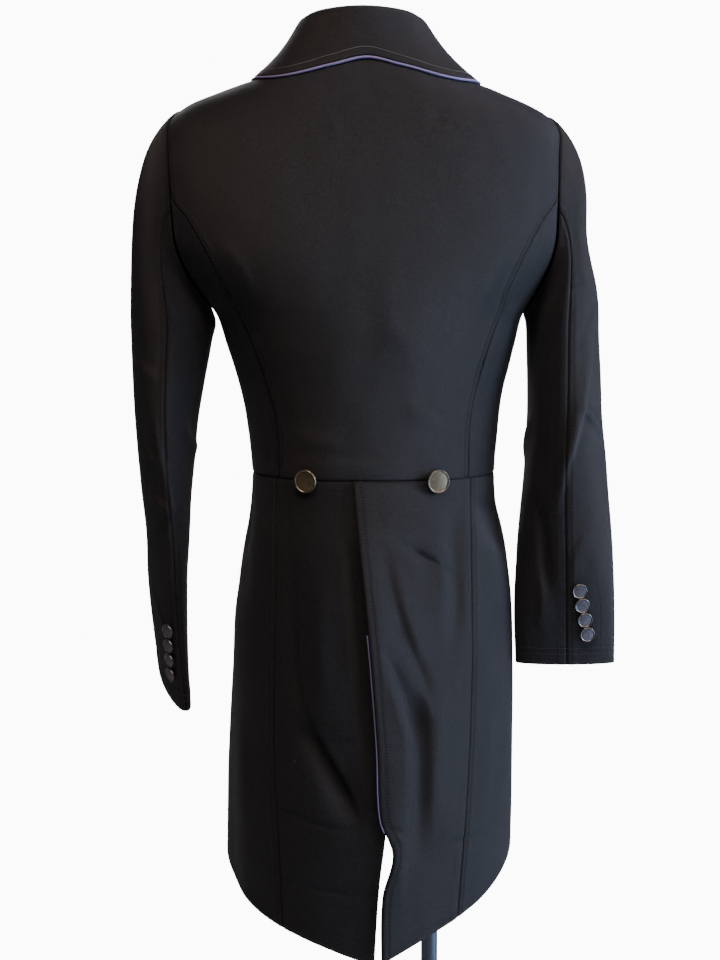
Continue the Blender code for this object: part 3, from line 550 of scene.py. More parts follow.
def dropped(points):
    """The right shoulder is carried a little lower than the left one."""
    across = smooth((points[..., 0] - COAT_X - 0.04) / 0.13)
    up = smooth((points[..., 2] - 1.3) / 0.09)
    points[..., 2] -= SHOULDER_DROP * across * up
    return points


def bodice(angle, h):
    """The bodice's surface, eased between its rings."""
    h = np.asarray(h, dtype=float)
    reach = 0.012 + 0.01 * smooth((h - 1.34) / 0.04)
    reach = np.clip(np.minimum(h - BODICE[0, H], BODICE[-1, H] - h), 0.0, reach)
    total = 2.0 * ring_point(BODICE, angle, h)
    for share in (-1.0, -0.5, 0.5, 1.0):
        total = total + ring_point(BODICE, angle, h + share * reach)
    return dropped(total / 6.0)


def armhole_angle(h, half):
    """Where a ring meets the armhole, from centre back or centre front."""
    share = np.clip((h - ARMHOLE_MIDDLE) / ARMHOLE_REACH, -1.0, 1.0)
    ring = read(BODICE, h)
    depth = ARMHOLE_DEPTH[half] * np.sqrt(1.0 - share * share)
    return np.arccos(np.minimum(depth / ring[..., half], 1.0) ** (1.0 / ring[..., SQUARE]))


def back_seam_angle(h):
    """The back seam, which runs out into the armhole at its top."""
    seam = ring_angle(BODICE, read(BACK_SEAM, h)[..., 1], h)
    out = smooth((h - BACK_SEAM_BEND) / (BACK_SEAM_TOP - BACK_SEAM_BEND))
    return seam + out * (armhole_angle(h, BACK) - seam)


def seam_gap(h):
    """Half of the gap between two panels of the bodice, as an angle."""
    return SEAM_GAP / read(BODICE, h)[..., HALF]


def roll_x(z):
    """How far a front reaches past the centre, then its roll line up to the neck."""
    share = np.clip((z - BREAK_Z) / (ROLL_TOP_Z - BREAK_Z), 0.0, 1.0)
    return -WRAP + (WRAP + ROLL_TOP_X) * share


def front_angle(h, x):
    """The angle from centre back of a point x to the side on the front half."""
    return math.pi - ring_angle(BODICE, x, h)


def front_lift(angle, side):
    """The right front lies on the left one near the centre."""
    return 0.0 * angle if side < 0 else FRONT_LIFT * smooth((angle - 2.05) / 0.5)


def front_edge_x(h):
    """The front's edge: the wrap below the break and the roll line above it."""
    ring = read(BODICE, h)
    return np.minimum(roll_x(ring[..., SIDE_Z]), 0.93 * ring[..., HALF])


def front_surface(side, layer):
    """A front's surface, moved out by the layers under it."""
    return lambda angle, h: lifted(bodice, angle, h, front_lift(np.abs(angle), side) + layer)


def collar_profile(station, side):
    """Seven points across the collar: up the stand, over the fold and down the fall."""
    up = np.array((0.0, 0.0, 1.0))
    seam = station[..., 1:4]
    fold = station[..., 4:7]
    turn = np.radians(station[..., 7])
    tuck = COLLAR_TUCK * (1.0 - smooth((np.abs(turn) - 1.35) / 0.5))
    lift = COLLAR_LIFT - tuck + front_lift(turn, 1)
    edge = lifted(bodice, side * turn, station[..., 8], lift) - np.array((COAT_X, 0.0, 0.0))
    edge[..., 0] *= side
    out = edge - seam
    out[..., 2] = 0.0
    out = unit(out)
    inner = fold - (out + up) * COLLAR_FOLD_R
    outer = fold + (out - up) * COLLAR_FOLD_R
    spread = edge - outer
    spread[..., 2] = 0.0
    middle = 0.5 * (outer + edge) - spread * COLLAR_HOLLOW
    return np.stack([seam, 0.5 * (seam + inner), inner, fold, outer, middle, edge])


def collar_sharp(t, w):
    """A point of the collar on straight lines between its seven points."""
    side = np.where(np.asarray(t) < 0, -1.0, 1.0)
    line = collar_profile(read(COLLAR, np.abs(t)), side)
    place = np.clip(w, 0.0, 1.0) * (len(line) - 1)
    i = np.minimum(place.astype(int), len(line) - 2)
    share = (place - i)[..., None]
    index = np.broadcast_to(i[..., None], line.shape[1:])[None]
    low = np.take_along_axis(line, index, axis=0)[0]
    high = np.take_along_axis(line, index + 1, axis=0)[0]
    here = low + (high - low) * share
    lean = COLLAR_LEAN * np.sin(math.pi * np.clip(w, 0.0, 1.0))
    return vectors(COAT_X + lean + side * here[..., 0], here[..., 1], here[..., 2])


def collar_point(t, w):
    """The collar's surface, with its fold rounded."""
    t, w = np.broadcast_arrays(np.asarray(t, dtype=float), np.asarray(w, dtype=float))
    reach = np.minimum(0.1, np.minimum(np.clip(w, 0.0, 1.0), np.clip(1.0 - w, 0.0, 1.0)))
    total = 0.0
    for share, weight in ((-1.0, 1.0), (-0.5, 2.0), (0.0, 2.5), (0.5, 2.0), (1.0, 1.0)):
        total = total + weight * collar_sharp(t, w + share * reach)
    return total / 8.5


def hem_z(angle, side):
    """The hem's height, rising from the tip round to the side."""
    t = np.abs(angle) / (0.5 * math.pi)
    return TIP_Z[side] + HEM_RISE[side] * (1.1 * t - 0.75 * t * t + 0.65 * t ** 3)


def fold_lift(points, side):
    """How far the tails' folds move points out."""
    total = 0.0
    for fold in FOLDS[side]:
        top_x, top_z, low_x, low_z, width, depth = (value / 1000.0 for value in fold)
        share = (top_z - points[..., 2]) / (top_z - low_z)
        line_x = top_x + (low_x - top_x) * share
        ends = smooth(share * 3.0) * smooth((1.0 - share) * 3.0)
        total = total + depth * ends * bell((points[..., 0] - COAT_X - line_x) / width)
    return total


def flutes(angle, z):
    """Soft waves that grow towards the hem, out at the sides."""
    down = smooth((WAIST_Z - 0.1 - z) / 0.35)
    side = smooth((np.abs(angle) - 0.9) / 0.5)
    return 0.0022 * down * side * np.sin(9.0 * angle + 5.0 * z)


def vent_lift(points, side):
    """The right tail stands off the left one along the vent."""
    if side < 0:
        return 0.0
    near = bell((points[..., 0] - COAT_X - 0.005) / 0.04)
    down = smooth((WAIST_Z - points[..., 2]) / 0.1)
    return near * (0.003 + 0.005 * down)


def tail_surface(side):
    """One tail's surface, with its large folds."""
    def surface(angle, z):
        ring = ring_point(TAILS, angle, z)
        lift = fold_lift(ring, side) + flutes(angle, z) + vent_lift(ring, side)
        out = unit(vectors(ring[..., 0] - COAT_X, 1.4 * ring[..., 1], 0.0))
        return ring + out * np.asarray(lift)[..., None]
    return surface


def armhole_point(side, turn):
    """The sleeve's end of the armhole: turn 0 is the shoulder, a quarter turn the back."""
    h = ARMHOLE_MIDDLE + ARMHOLE_REACH * np.cos(turn)
    at_front = math.pi - armhole_angle(h, FRONT)
    points = bodice(side * np.where(np.sin(turn) > 0, armhole_angle(h, BACK), at_front), h)
    low = 0.5 - 0.5 * np.cos(turn)
    points[..., 0] += side * (0.001 + 0.0022 * low)
    points[..., 2] += 0.0012 - 0.0024 * low
    return points


def sleeve_section(side, turn, z):
    """A sleeve below its cap: turn 0 is the outer side, a quarter turn the back."""
    row = read(SLEEVE[side], z)
    x = side * row[..., 3] * np.cos(turn)
    y = -row[..., 4] * np.sin(turn)
    spin = np.radians(row[..., 5])
    across = x * np.cos(spin) - y * np.sin(spin)
    along = x * np.sin(spin) + y * np.cos(spin)
    lift = row[..., 6] * y / row[..., 4]
    return vectors(COAT_X + side * row[..., 1] + across, row[..., 2] + along, z + lift)


def sleeve_surface(side):
    """A sleeve's surface, from the armhole to the cuff's hem."""
    def surface(turn, down):
        turn, down = np.broadcast_arrays(np.asarray(turn, float), np.asarray(down, float))
        share = np.clip((down - CAP_SHARE) / (1.0 - CAP_SHARE), 0.0, None)
        arm = sleeve_section(side, turn, CAP_END_Z + (CUFF_Z[side] - CAP_END_Z) * share)
        start = armhole_point(side, turn)
        end = sleeve_section(side, turn, CAP_END_Z + 0.0 * turn)
        reach = np.linalg.norm(end - start, axis=-1)[..., None]
        top = 0.5 + 0.5 * np.cos(turn)
        leave = unit(vectors(side * (0.15 + 0.85 * top), 0.0, -1.0 + 0.35 * top))
        full = (1.0 - top * (1.0 - CAP[side]))[..., None]
        arrive = np.array((0.0, 0.0, -1.0))
        t = np.clip(down / CAP_SHARE, 0.0, 1.0)[..., None]
        head = cubic(start, end, leave * reach * full, arrive * reach, t)
        if side > 0:
            near = bell((head[..., 2] - DENT_Z) / 0.042)
            head[..., 0] -= CAP_DENT * near * np.maximum(np.cos(turn), 0.0)
        return np.where((down >= CAP_SHARE)[..., None], arm, head)
    return surface


def sleeve_down(side, z):
    """How far down a sleeve a height below the cap is."""
    return CAP_SHARE + (1.0 - CAP_SHARE) * (CAP_END_Z - z) / (CAP_END_Z - CUFF_Z[side])


def crease_lift(rows, u, w):
    """How far creases move points out, for points at (u, w) on the cloth."""
    total = np.zeros(np.broadcast(u, w).shape)
    for crease in rows:
        line = np.array(crease.line, dtype=float)
        lengths = np.hypot(*(line[1:] - line[:-1]).T)
        best = np.full(total.shape, 1e9)
        beside = np.zeros(total.shape)
        along = np.zeros(total.shape)
        run = 0.0
        for start, end, length in zip(line[:-1], line[1:], lengths):
            du, dw = (end - start) / length
            t = np.clip((u - start[0]) * du + (w - start[1]) * dw, 0.0, length)
            off_u = u - start[0] - t * du
            off_w = w - start[1] - t * dw
            away = np.hypot(off_u, off_w)
            closer = away < best
            best = np.where(closer, away, best)
            beside = np.where(closer, du * off_w - dw * off_u, beside)
            along = np.where(closer, run + t, along)
            run += length
        width = np.where(beside > 0, crease.near, crease.far)
        ends = smooth(2.8 * along / run) * smooth(2.8 * (run - along) / run)
        total += crease.depth * ends * bell(best / width)
    return total


def stretched(rows, share):
    """The same creases with their places across the cloth times share."""
    return [c._replace(line=[(share * u, w) for u, w in c.line]) for c in rows]


def swell(u, w, seed):
    """Soft unevenness of the cloth, never the same on two panels."""
    wander = np.random.default_rng(seed)
    total = np.zeros(np.broadcast(u, w).shape)
    for length in (0.11, 0.074, 0.052, 0.037, 0.026):
        heading = wander.uniform(0.0, 2.0 * math.pi)
        start = wander.uniform(0.0, 2.0 * math.pi)
        along = u * math.cos(heading) + 0.6 * w * math.sin(heading)
        bend = 0.6 * np.sin(2.0 * math.pi * w / (2.3 * length) + 2.0 * start)
        total += (length / 0.11) ** 0.8 * np.sin(2.0 * math.pi * along / length + start + bend)
    return bpy.context.scene.shadbelly_cloth.swell * (0.5 * total)


def lengths_along(points):
    """Running lengths along the second axis of a grid of points."""
    step = np.linalg.norm(np.diff(points, axis=1), axis=-1)
    return np.concatenate([np.zeros((len(points), 1)), np.cumsum(step, axis=1)], axis=1)


def spread(lengths, pitch):
    """Distances along lines of these lengths: close at both ends, even between them."""
    reach = EDGE_STEPS[-1]
    count = max(int(math.ceil((lengths.max() - 2 * reach) / pitch)), 2)
    squeeze = np.minimum(1.0, 0.45 * lengths / reach)[:, None]
    first = EDGE_STEPS[None] * squeeze
    middle = np.linspace(0.0, 1.0, count + 1)[1:-1][None]
    inner = lengths[:, None] - 2 * reach * squeeze
    return np.concatenate(
        [first, reach * squeeze + inner * middle, lengths[:, None] - first[:, ::-1]], axis=1)


def seam_lift(distance, along, roll, stitch):
    """A pressed seam: it dips, lies proud beside the dip and is drawn in by its stitches."""
    lift = -roll * bell(distance / SEAM_DIP)
    lift += 0.35 * roll * smooth((SEAM_PROUD - distance) / 0.004)
    if stitch:
        lift -= 0.32 * roll * bell((distance - stitch) / SEAM_LINE)
        pucker = np.sin(along / 0.0019) + 0.7 * np.sin(along / 0.0031 + 1.7)
        lift += 0.11 * roll * pucker * bell((distance - stitch) / 0.0045)
    return lift


def cloth(node, surface, line, shape, seams, thickness=None, sign=1.0):
    """Makes one panel of cloth as a closed wall.

    line(v, c) gives the surface's place at v down the panel and c across it, shape(points, a, b)
    the creases there, and seams the topstitch distance at each edge or None where it is free.
    """
    settings = bpy.context.scene.shadbelly_cloth
    thickness = thickness or settings.thickness
    fine = np.linspace(0.0, 1.0, 260)
    a, b = line(fine[:, None], np.full((1, 1), 0.5))
    down = lengths_along(surface(a, b)[:, 0][None])
    pitch = settings.pitch * PITCH_SHARE.get(node.split("_")[0], 1.0)
    v = np.interp(spread(down[:, -1], pitch)[0], down[0], fine)
    a, b = line(v[:, None], fine[None])
    across = lengths_along(surface(a, b))
    first = spread(across[:, -1], pitch)
    c = np.stack([np.interp(w, run, fine) for w, run in zip(first, across)])
    a, b = line(v[:, None] + 0.0 * c, c)
    middle = surface(a, b)
    normal = outward(surface, a, b, sign)
    last = across[:, -1:] - first
    top = lengths_along(np.swapaxes(middle, 0, 1)).T
    low = top[-1:] - top
    lift = shape(middle, a, b) * settings.crease
    # Painted shade: a mask that darkens the cloth's colour in a thin line along each seam and each
    # row of topstitches.
    sewn = np.zeros_like(first)
    free = np.full_like(first, 1.0)
    for away, along, stitch in zip((first, last, top, low), (top, top, first, first), seams):
        if stitch is None:
            free = np.minimum(free, away)
            continue
        lift = lift + seam_lift(away, along, settings.seam_roll, stitch)
        sewn = np.maximum(sewn, 0.9 * bell(away / SEAM_LINE))
        if stitch:
            sewn = np.maximum(sewn, 0.8 * bell((away - stitch) / SEAM_LINE))
    rounding = (1.0 - np.minimum(free / CLOTH_EDGE, 1.0)) ** 2
    half = 0.5 * thickness * np.sqrt(np.clip(1.0 - rounding, 0.05, 1.0))
    centre = slice(first.shape[1] // 2, first.shape[1] // 2 + 1)
    outer, inner = (middle + normal * (lift + off)[..., None] for off in (half, -half))
    sheet = Sheet(outer, inner, normal, first, last, low, top, np.exp(-free / WORN_EDGE), sewn,
                  first - first[:, centre], top[:, centre] + 0.0 * first)
    for (axis, end), stitch in zip(((1, 0), (1, -1), (0, 0), (0, -1)), seams):
        if stitch is not None:
            sheet = with_allowance(sheet, axis, end)
    SEWN[node] = sheet
    name = node + "_cloth"
    thing = piece(name, wall(name, sheet), [node], black_twill())


def with_allowance(sheet, axis, end):
    """The same panel with its seam allowance turned in along one edge."""
    edge = np.take(sheet.points, [end], axis=axis)
    away = unit(edge - np.take(sheet.points, [1 if end == 0 else -2], axis=axis))
    turn = away * 0.0007 - np.take(sheet.normals, [end], axis=axis) * 0.002
    fields = []
    for label, values in zip(sheet._fields, sheet):
        extra = np.take(values, [end], axis=axis)
        if label in ("points", "inner"):
            extra = extra + turn
        fields.append(np.concatenate([extra, values] if end == 0 else [values, extra], axis=axis))
    return Sheet(*fields)


def quads(index):
    """The faces between the rows and columns of a grid of points."""
    corners = (index[:-1, :-1], index[:-1, 1:], index[1:, 1:], index[1:, :-1])
    return np.stack(corners, axis=-1).reshape(-1, 4)


def wall(name, sheet):
    """A closed mesh between a panel's outer and inner side, with the flat cloth as its UV map."""
    rows, columns = sheet.points.shape[:2]
    count = rows * columns
    index = np.arange(count).reshape(rows, columns)
    near = quads(index)
    loop = np.concatenate([index[0, :-1], index[:-1, -1], index[-1, :0:-1], index[:0:-1, 0]])
    after = np.roll(loop, -1)
    rim = np.stack([loop, loop + count, after + count, after], axis=-1)
    p = sheet.points.reshape(-1, 3)
    facing = np.cross(p[near[:, 1]] - p[near[:, 0]], p[near[:, 3]] - p[near[:, 0]])
    if np.sum(facing * sheet.normals.reshape(-1, 3)[near[:, 0]]) < 0:
        near = near[:, ::-1]
        rim = rim[:, ::-1]
    faces = np.concatenate([near, near[:, ::-1] + count, rim])
    data = bpy.data.meshes.new(name)
    data.from_pydata(np.concatenate([p, sheet.inner.reshape(-1, 3)]).tolist(), [], faces.tolist())
    spots = np.stack([sheet.across.reshape(-1), -sheet.down.reshape(-1)], axis=-1)
    mark_uv(data, np.concatenate([spots, spots]), faces.reshape(-1))
    # The wear at free edges and the painted seam shade go to the material as point attributes.
    mark(data, "edge", np.tile(sheet.edge.reshape(-1), 2))
    mark(data, "sewn", np.tile(sheet.sewn.reshape(-1), 2))
    data.shade_smooth()
    data.validate()
    data.update()
    return data


def mark_uv(data, spots, corners):
    """A UV map with the cloth laid flat, in metres."""
    data.uv_layers.new(name="cloth").data.foreach_set("uv", spots[corners].reshape(-1))


def mark(data, name, values):
    """A number at each point, for the materials."""
    data.attributes.new(name, "FLOAT", "POINT").data.foreach_set("value", values)


def added(name, data):
    """A new object in the scene."""
    thing = bpy.data.objects.new(name, data)
    bpy.context.scene.collection.objects.link(thing)
    return thing


def piece(name, data, nodes, look):
    """A finished piece, with its material, the nodes it stands for and its body."""
    thing = added(name, data)
    data.materials.clear()
    data.materials.append(look)
    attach(thing, "root")
    if nodes:
        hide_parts(*nodes)
    return thing


def level_line(low, high, edges):
    """A panel's places between two edges that depend on the level."""
    def line(v, c):
        h = low + (high - low) * (1.0 - v)
        start, end = edges(h)
        return start + (end - start) * c, h + 0.0 * c
    return line


def bodice_shape(rows, seed):
    """Creases and swell of a bodice panel."""
    def shape(points, a, b):
        u = points[..., 0] - COAT_X
        w = points[..., 2]
        return crease_lift(rows, u, w) + swell(u + 0.7 * points[..., 1], w, seed)
    return shape


def tail_shape(side):
    """Creases and swell of a tail."""
    def shape(points, a, b):
        u = points[..., 0] - COAT_X
        w = points[..., 2]
        at_back = smooth((-points[..., 1] - 0.005) / 0.02)
        soft = swell(u + 0.7 * points[..., 1], 0.5 * w, SEEDS["tail"] + side)
        lift = crease_lift(TAIL_CREASES[side], u, w) * at_back
        return lift + 1.2 * soft * smooth((WAIST_Z - w) / 0.08)
    return shape


def sleeve_shape(side):
    """Creases and swell of a sleeve, on the cloth all round it."""
    scale = SLEEVE_RADIUS * math.pi / 180.0
    rows = stretched(SLEEVE_CREASES[side], scale)

    def shape(points, turn, down):
        u = turn * SLEEVE_RADIUS
        w = points[..., 2]
        total = crease_lift(rows, u, w) + crease_lift(rows, u - 2.0 * SLEEVE_RADIUS * math.pi, w)
        soft = swell(points[..., 0] + 0.8 * points[..., 1], 0.8 * w, SEEDS["sleeve"] + side)
        return total + 1.3 * soft * smooth(down / 0.12)
    return shape


def tail_line(inner, outer, side):
    """A tail panel's places between two edges, down to the hem."""
    top = WAIST_Z - SEAM_GAP

    def line(v, c):
        z = top - v * (top - 0.56) + 0.0 * c
        for _ in range(5):
            start = inner(z)
            angle = start + (outer(z) - start) * c
            z = top - v * (top - hem_z(angle, side))
        return angle, z
    return line


def tail_seam_angle(z, side, away):
    """The seam between a tail's two panels, moved away from it by half a gap."""
    gap = away * SEAM_GAP / read(TAILS, z)[..., HALF]
    return side * (ring_angle(TAILS, read(TAIL_SEAM, z)[..., 1], z) + gap)


def vent_angle(z, side):
    """A tail's edge at the vent."""
    return ring_angle(TAILS, read(VENT[side], z)[..., 1], z)


def front_edge_angle(z, side):
    """The tails' front edge, from the hip down and back to the side."""
    down = (WAIST_Z - z) / (WAIST_Z - 0.6)
    return side * np.radians(114.0 - 22.0 * smooth(down))


class Nodes:
    """Builds the nodes of one material or group."""

    def __init__(self, tree):
        """Starts on a node tree."""
        self.tree = tree

    def feed(self, socket, value):
        """Feeds a socket with another socket, a colour or a number."""
        if isinstance(value, bpy.types.NodeSocket):
            self.tree.links.new(value, socket)
        else:
            socket.default_value = (*value[:3], 1.0) if socket.type == "RGBA" else value

    def add(self, kind, inputs=None, **settings):
        """A new node with its settings and what feeds its inputs."""
        node = self.tree.nodes.new(kind)
        for label, value in settings.items():
            setattr(node, label, value)
        for label, value in (inputs or {}).items():
            self.feed(node.inputs[label], value)
        return node

    def math(self, operation, *values):
        """A Math node's value."""
        return self.add("ShaderNodeMath", dict(enumerate(values)), operation=operation).outputs[0]

    def scaled(self, value, factor, offset):
        """A value times a factor, plus an offset."""
        return self.math("MULTIPLY_ADD", value, factor, offset)

    def times(self, first, second):
        """The product of two values."""
        return self.math("MULTIPLY", first, second)

    def noise(self, vector, scale, detail, roughness=0.55):
        """A Noise texture's value."""
        inputs = {"Scale": scale, "Detail": detail, "Roughness": roughness, "Vector": vector}
        return self.add("ShaderNodeTexNoise", inputs).outputs["Fac"]

    def split(self, vector):
        """The three parts of a vector."""
        return self.add("ShaderNodeSeparateXYZ", {0: vector}).outputs

    def group(self, tree, vector, **values):
        """A node group's outputs, with its own values."""
        return self.add("ShaderNodeGroup", {"Vector": vector, **values}, node_tree=tree).outputs

    def flat(self):
        """The flat cloth's own map."""
        return self.add("ShaderNodeUVMap", uv_map="cloth").outputs[0]

    def attribute(self, name):
        """A number at each point of the piece."""
        return self.add("ShaderNodeAttribute", attribute_name=name).outputs["Fac"]

    def mixed(self, first, second, factor, **blend):
        """A blend of two colours."""
        inputs = {"Factor": factor, 6: first, 7: second}
        return self.add("ShaderNodeMix", inputs, data_type="RGBA", **blend).outputs[2]

    def shaded(self, colour, factor):
        """A colour made lighter or darker by a factor."""
        grey = self.add("ShaderNodeCombineColor", {i: factor for i in range(3)}).outputs[0]
        return self.mixed(colour, grey, 1.0, blend_type="MULTIPLY")


def new_socket(tree, name, kind, way="INPUT"):
    """An input or output of a node group."""
    return tree.interface.new_socket(name=name, in_out=way, socket_type="NodeSocket" + kind)


def group_once(name, inputs, outputs, build):
    """A shader node group, made once; build(nodes, start) gives its outputs in order."""
    tree = bpy.data.node_groups.get(name)
    if tree:
        return tree
    tree = bpy.data.node_groups.new(name, "ShaderNodeTree")
    new_socket(tree, "Vector", "Vector")
    for label, value in inputs.items():
        new_socket(tree, label, "Float").default_value = value
    for label in outputs:
        new_socket(tree, label, "Float", "OUTPUT")
    start = tree.nodes.new("NodeGroupInput")
    end = tree.nodes.new("NodeGroupOutput")
    for label, value in zip(outputs, build(Nodes(tree), start.outputs)):
        tree.links.new(value, end.inputs[label])
    return tree


def twill_group():
    """Diagonal wales with uneven yarns, from a flat cloth's map in metres."""
    def build(nodes, start):
        x, y, _ = nodes.split(start["Vector"])
        wander = nodes.noise(start["Vector"], 260.0, 2.0)
        run = nodes.times(nodes.math("ADD", x, y), start["Wales"])
        turns = nodes.math("ADD", run, nodes.times(wander, start["Uneven"]))
        wale = nodes.scaled(nodes.math("SINE", nodes.times(turns, 2.0 * math.pi)), 0.5, 0.5)
        pick = nodes.math("SINE", nodes.times(nodes.math("SUBTRACT", x, y), 9400.0))
        return nodes.scaled(pick, 0.12, wale), nodes.noise(start["Vector"], 900.0, 3.0)
    return group_once("Twill weave", {"Wales": 1250.0, "Uneven": 0.35}, ("Height", "Yarn"), build)


def lint_group():
    """Sparse specks and short fibres of lint, as a mask."""
    def build(nodes, start):
        cells = nodes.add("ShaderNodeTexVoronoi", {
            "Randomness": 1.0, "Vector": start["Vector"], "Scale": start["Scale"]}).outputs
        red, green, _ = nodes.add("ShaderNodeSeparateColor", {0: cells["Color"]}).outputs
        chosen = nodes.math("LESS_THAN", red, start["Amount"])
        near = nodes.math("LESS_THAN", cells["Distance"], nodes.times(green, start["Size"]))
        return (nodes.times(chosen, near),)
    inputs = {"Scale": 90.0, "Size": 0.035, "Amount": 0.1}
    return group_once("Lint specks", inputs, ("Mask",), build)


def drift_group():
    """Soft uneven tone over the cloth, as handling and pressing leave it."""
    def build(nodes, start):
        centred = nodes.math("SUBTRACT", nodes.noise(start["Vector"], 9.0, 3.0), 0.5)
        grain = nodes.noise(start["Vector"], 420.0, 4.0, 0.7)
        return nodes.scaled(centred, start["Amount"], 1.0), grain
    return group_once("Cloth drift", {"Amount": 0.25}, ("Tone", "Grain"), build)


def patina_group():
    """Mottling and fine scratches of old metal."""
    def build(nodes, start):
        mottle = nodes.add("ShaderNodeTexNoise", {
            "Detail": 5.0, "Vector": start["Vector"], "Scale": start["Scale"]})
        stretch = nodes.add("ShaderNodeMapping", {
            "Rotation": (0.3, 0.2, 0.6), "Scale": (1.0, 14.0, 1.0), "Vector": start["Vector"]})
        return mottle.outputs["Fac"], nodes.noise(stretch.outputs[0], 700.0, 2.0)
    return group_once("Metal patina", {"Scale": 400.0}, ("Mottle", "Scratch"), build)


def material_once(name, build):
    """A material, made once; build(nodes, space) gives the shader's inputs and its bump."""
    look = bpy.data.materials.get(name)
    if look:
        return look
    look = bpy.data.materials.new(name)
    look.use_nodes = True
    nodes = Nodes(look.node_tree)
    shader = look.node_tree.nodes["Principled BSDF"]
    space = nodes.add("ShaderNodeTexCoord").outputs["Object"]
    inputs, relief = build(nodes, space)
    bump = nodes.add("ShaderNodeBump", dict(zip(("Height", "Strength", "Distance"), relief)))
    for label, value in {**inputs, "Normal": bump.outputs[0]}.items():
        nodes.feed(shader.inputs[label], value)
    return look


def black_twill():
    """The coat's black stretch twill."""
    settings = bpy.context.scene.shadbelly_cloth

    def build(nodes, space):
        weave = nodes.group(twill_group(), nodes.flat(), Wales=settings.wales)
        drift = nodes.group(drift_group(), space, Amount=0.5)
        lint = nodes.group(lint_group(), space, Scale=70.0, Size=0.05, Amount=0.07)
        # Painted shade: the seam mask darkens the colour along seams and stitch rows; free edges
        # are lighter from wear.
        sewn = nodes.attribute("sewn")
        yarn = nodes.math("ADD", weave["Yarn"], 0.5)
        yarn = nodes.times(yarn, nodes.scaled(drift["Grain"], 3.4, -0.7))
        # This factor holds both the wear at free edges and the painted shade along seams.
        worn = nodes.scaled(sewn, -0.8, nodes.scaled(nodes.attribute("edge"), 0.45, 1.0))
        tone = nodes.times(nodes.times(drift["Tone"], yarn), worn)
        return {
            "Base Color": nodes.mixed(
                nodes.shaded(settings.colour, tone), LINT, nodes.times(lint["Mask"], 0.55)),
            "Roughness": nodes.scaled(sewn, 0.38, nodes.scaled(drift["Grain"], 0.16, 0.5)),
            "Specular IOR Level": 0.3, "Sheen Weight": 0.1, "Sheen Roughness": 0.45,
            "Sheen Tint": SHEEN,
        }, (nodes.scaled(drift["Grain"], 0.8, weave["Height"]), 0.7, 0.00026)
    return material_once("black_twill_cloth", build)


def sewing_thread(name, colour):
    """Sewing thread with a slight gloss."""
    def build(nodes, space):
        drift = nodes.group(drift_group(), space, Amount=0.8)
        return {
            "Base Color": nodes.shaded(colour, drift["Tone"]),
            "Roughness": 0.6, "Specular IOR Level": 0.2,
        }, (drift["Grain"], 0.5, 0.0001)
    return material_once(name, build)


def lavender_piping():
    """Satin-covered piping cord."""
    colour = bpy.context.scene.shadbelly_trim.piping_colour

    def build(nodes, space):
        weave = nodes.group(twill_group(), nodes.flat(), Wales=900.0, Uneven=0.2)
        drift = nodes.group(drift_group(), space, Amount=0.5)
        tone = nodes.times(drift["Tone"], nodes.scaled(weave["Height"], 0.25, 0.85))
        return {
            "Base Color": nodes.shaded(colour, tone),
            "Roughness": nodes.scaled(drift["Grain"], 0.2, 0.38), "Sheen Weight": 0.15,
        }, (weave["Height"], 0.5, 0.00012)
    return material_once("lavender_satin", build)


def button_metal(name, colour):
    """Antiqued metal, with a lighter, smoother rim."""
    def build(nodes, space):
        patina = nodes.group(patina_group(), space, Scale=420.0)
        worn = nodes.attribute("worn")
        base = nodes.shaded(colour, nodes.scaled(patina["Mottle"], 0.9, 0.5))
        return {
            "Base Color": nodes.mixed(base, WORN_METAL, worn),
            "Roughness": nodes.scaled(worn, -0.12, nodes.scaled(patina["Mottle"], 0.3, 0.28)),
            "Metallic": 0.92,
        }, (nodes.scaled(patina["Scratch"], 0.5, patina["Mottle"]), 0.35, 0.00008)
    return material_once(name, build)


def form_linen():
    """The dress form's plain linen cover."""
    colour = bpy.context.scene.shadbelly_trim.linen_colour

    def build(nodes, space):
        x, _, z = nodes.split(space)
        weft, warp = (nodes.math("SINE", nodes.times(part, 5200.0)) for part in (x, z))
        drift = nodes.group(drift_group(), space, Amount=0.25)
        weave = nodes.scaled(nodes.times(warp, weft), 0.12, 0.9)
        slub = nodes.scaled(drift["Grain"], 0.3, weave)
        return {
            "Base Color": nodes.shaded(colour, nodes.times(drift["Tone"], slub)), "Roughness": 0.86,
        }, (slub, 0.5, 0.0003)
    return material_once("linen_cover", build)


def stand_steel():
    """Satin blue-grey steel with fine scratches."""
    colour = bpy.context.scene.shadbelly_trim.steel_colour

    def build(nodes, space):
        patina = nodes.group(patina_group(), space, Scale=60.0)
        return {
            "Base Color": nodes.shaded(colour, nodes.scaled(patina["Scratch"], 0.22, 0.9)),
            "Roughness": nodes.scaled(patina["Mottle"], 0.12, 0.32), "Metallic": 0.9,
        }, (patina["Scratch"], 0.15, 0.0001)
    return material_once("satin_steel", build)


def finished(data, sharp=None):
    """Turns a closed mesh's faces outwards and smooths it, with edges sharp from an angle."""
    data.validate()
    data.update()
    volume = 0.0
    for face in data.polygons:
        corners = [data.vertices[i].co for i in face.vertices]
        for second, third in zip(corners[1:-1], corners[2:]):
            volume += corners[0].dot(second.cross(third))
    if volume < 0:
        data.flip_normals()
    data.shade_smooth()
    if sharp:
        data.set_sharp_from_angle(angle=math.radians(sharp))
    return data


def closed_rings(count, sides):
    """The indices of rings of points, and the faces between them."""
    index = np.arange(count * sides).reshape(count, sides)
    return index, quads(np.concatenate([index, index[:, :1]], axis=1))


def loft(name, loops):
    """A mesh through rings of equal count, with flat ends, and its faces' corners in order."""
    index, between = closed_rings(*loops.shape[:2])
    faces = [*between.tolist(), index[0, ::-1].tolist(), index[-1].tolist()]
    data = bpy.data.meshes.new(name)
    data.from_pydata(loops.reshape(-1, 3).tolist(), [], faces)
    return data, np.concatenate([np.array(face) for face in faces])


def circle(sides):
    """The angles of points all round."""
    return np.linspace(0.0, 2.0 * math.pi, sides, endpoint=False)


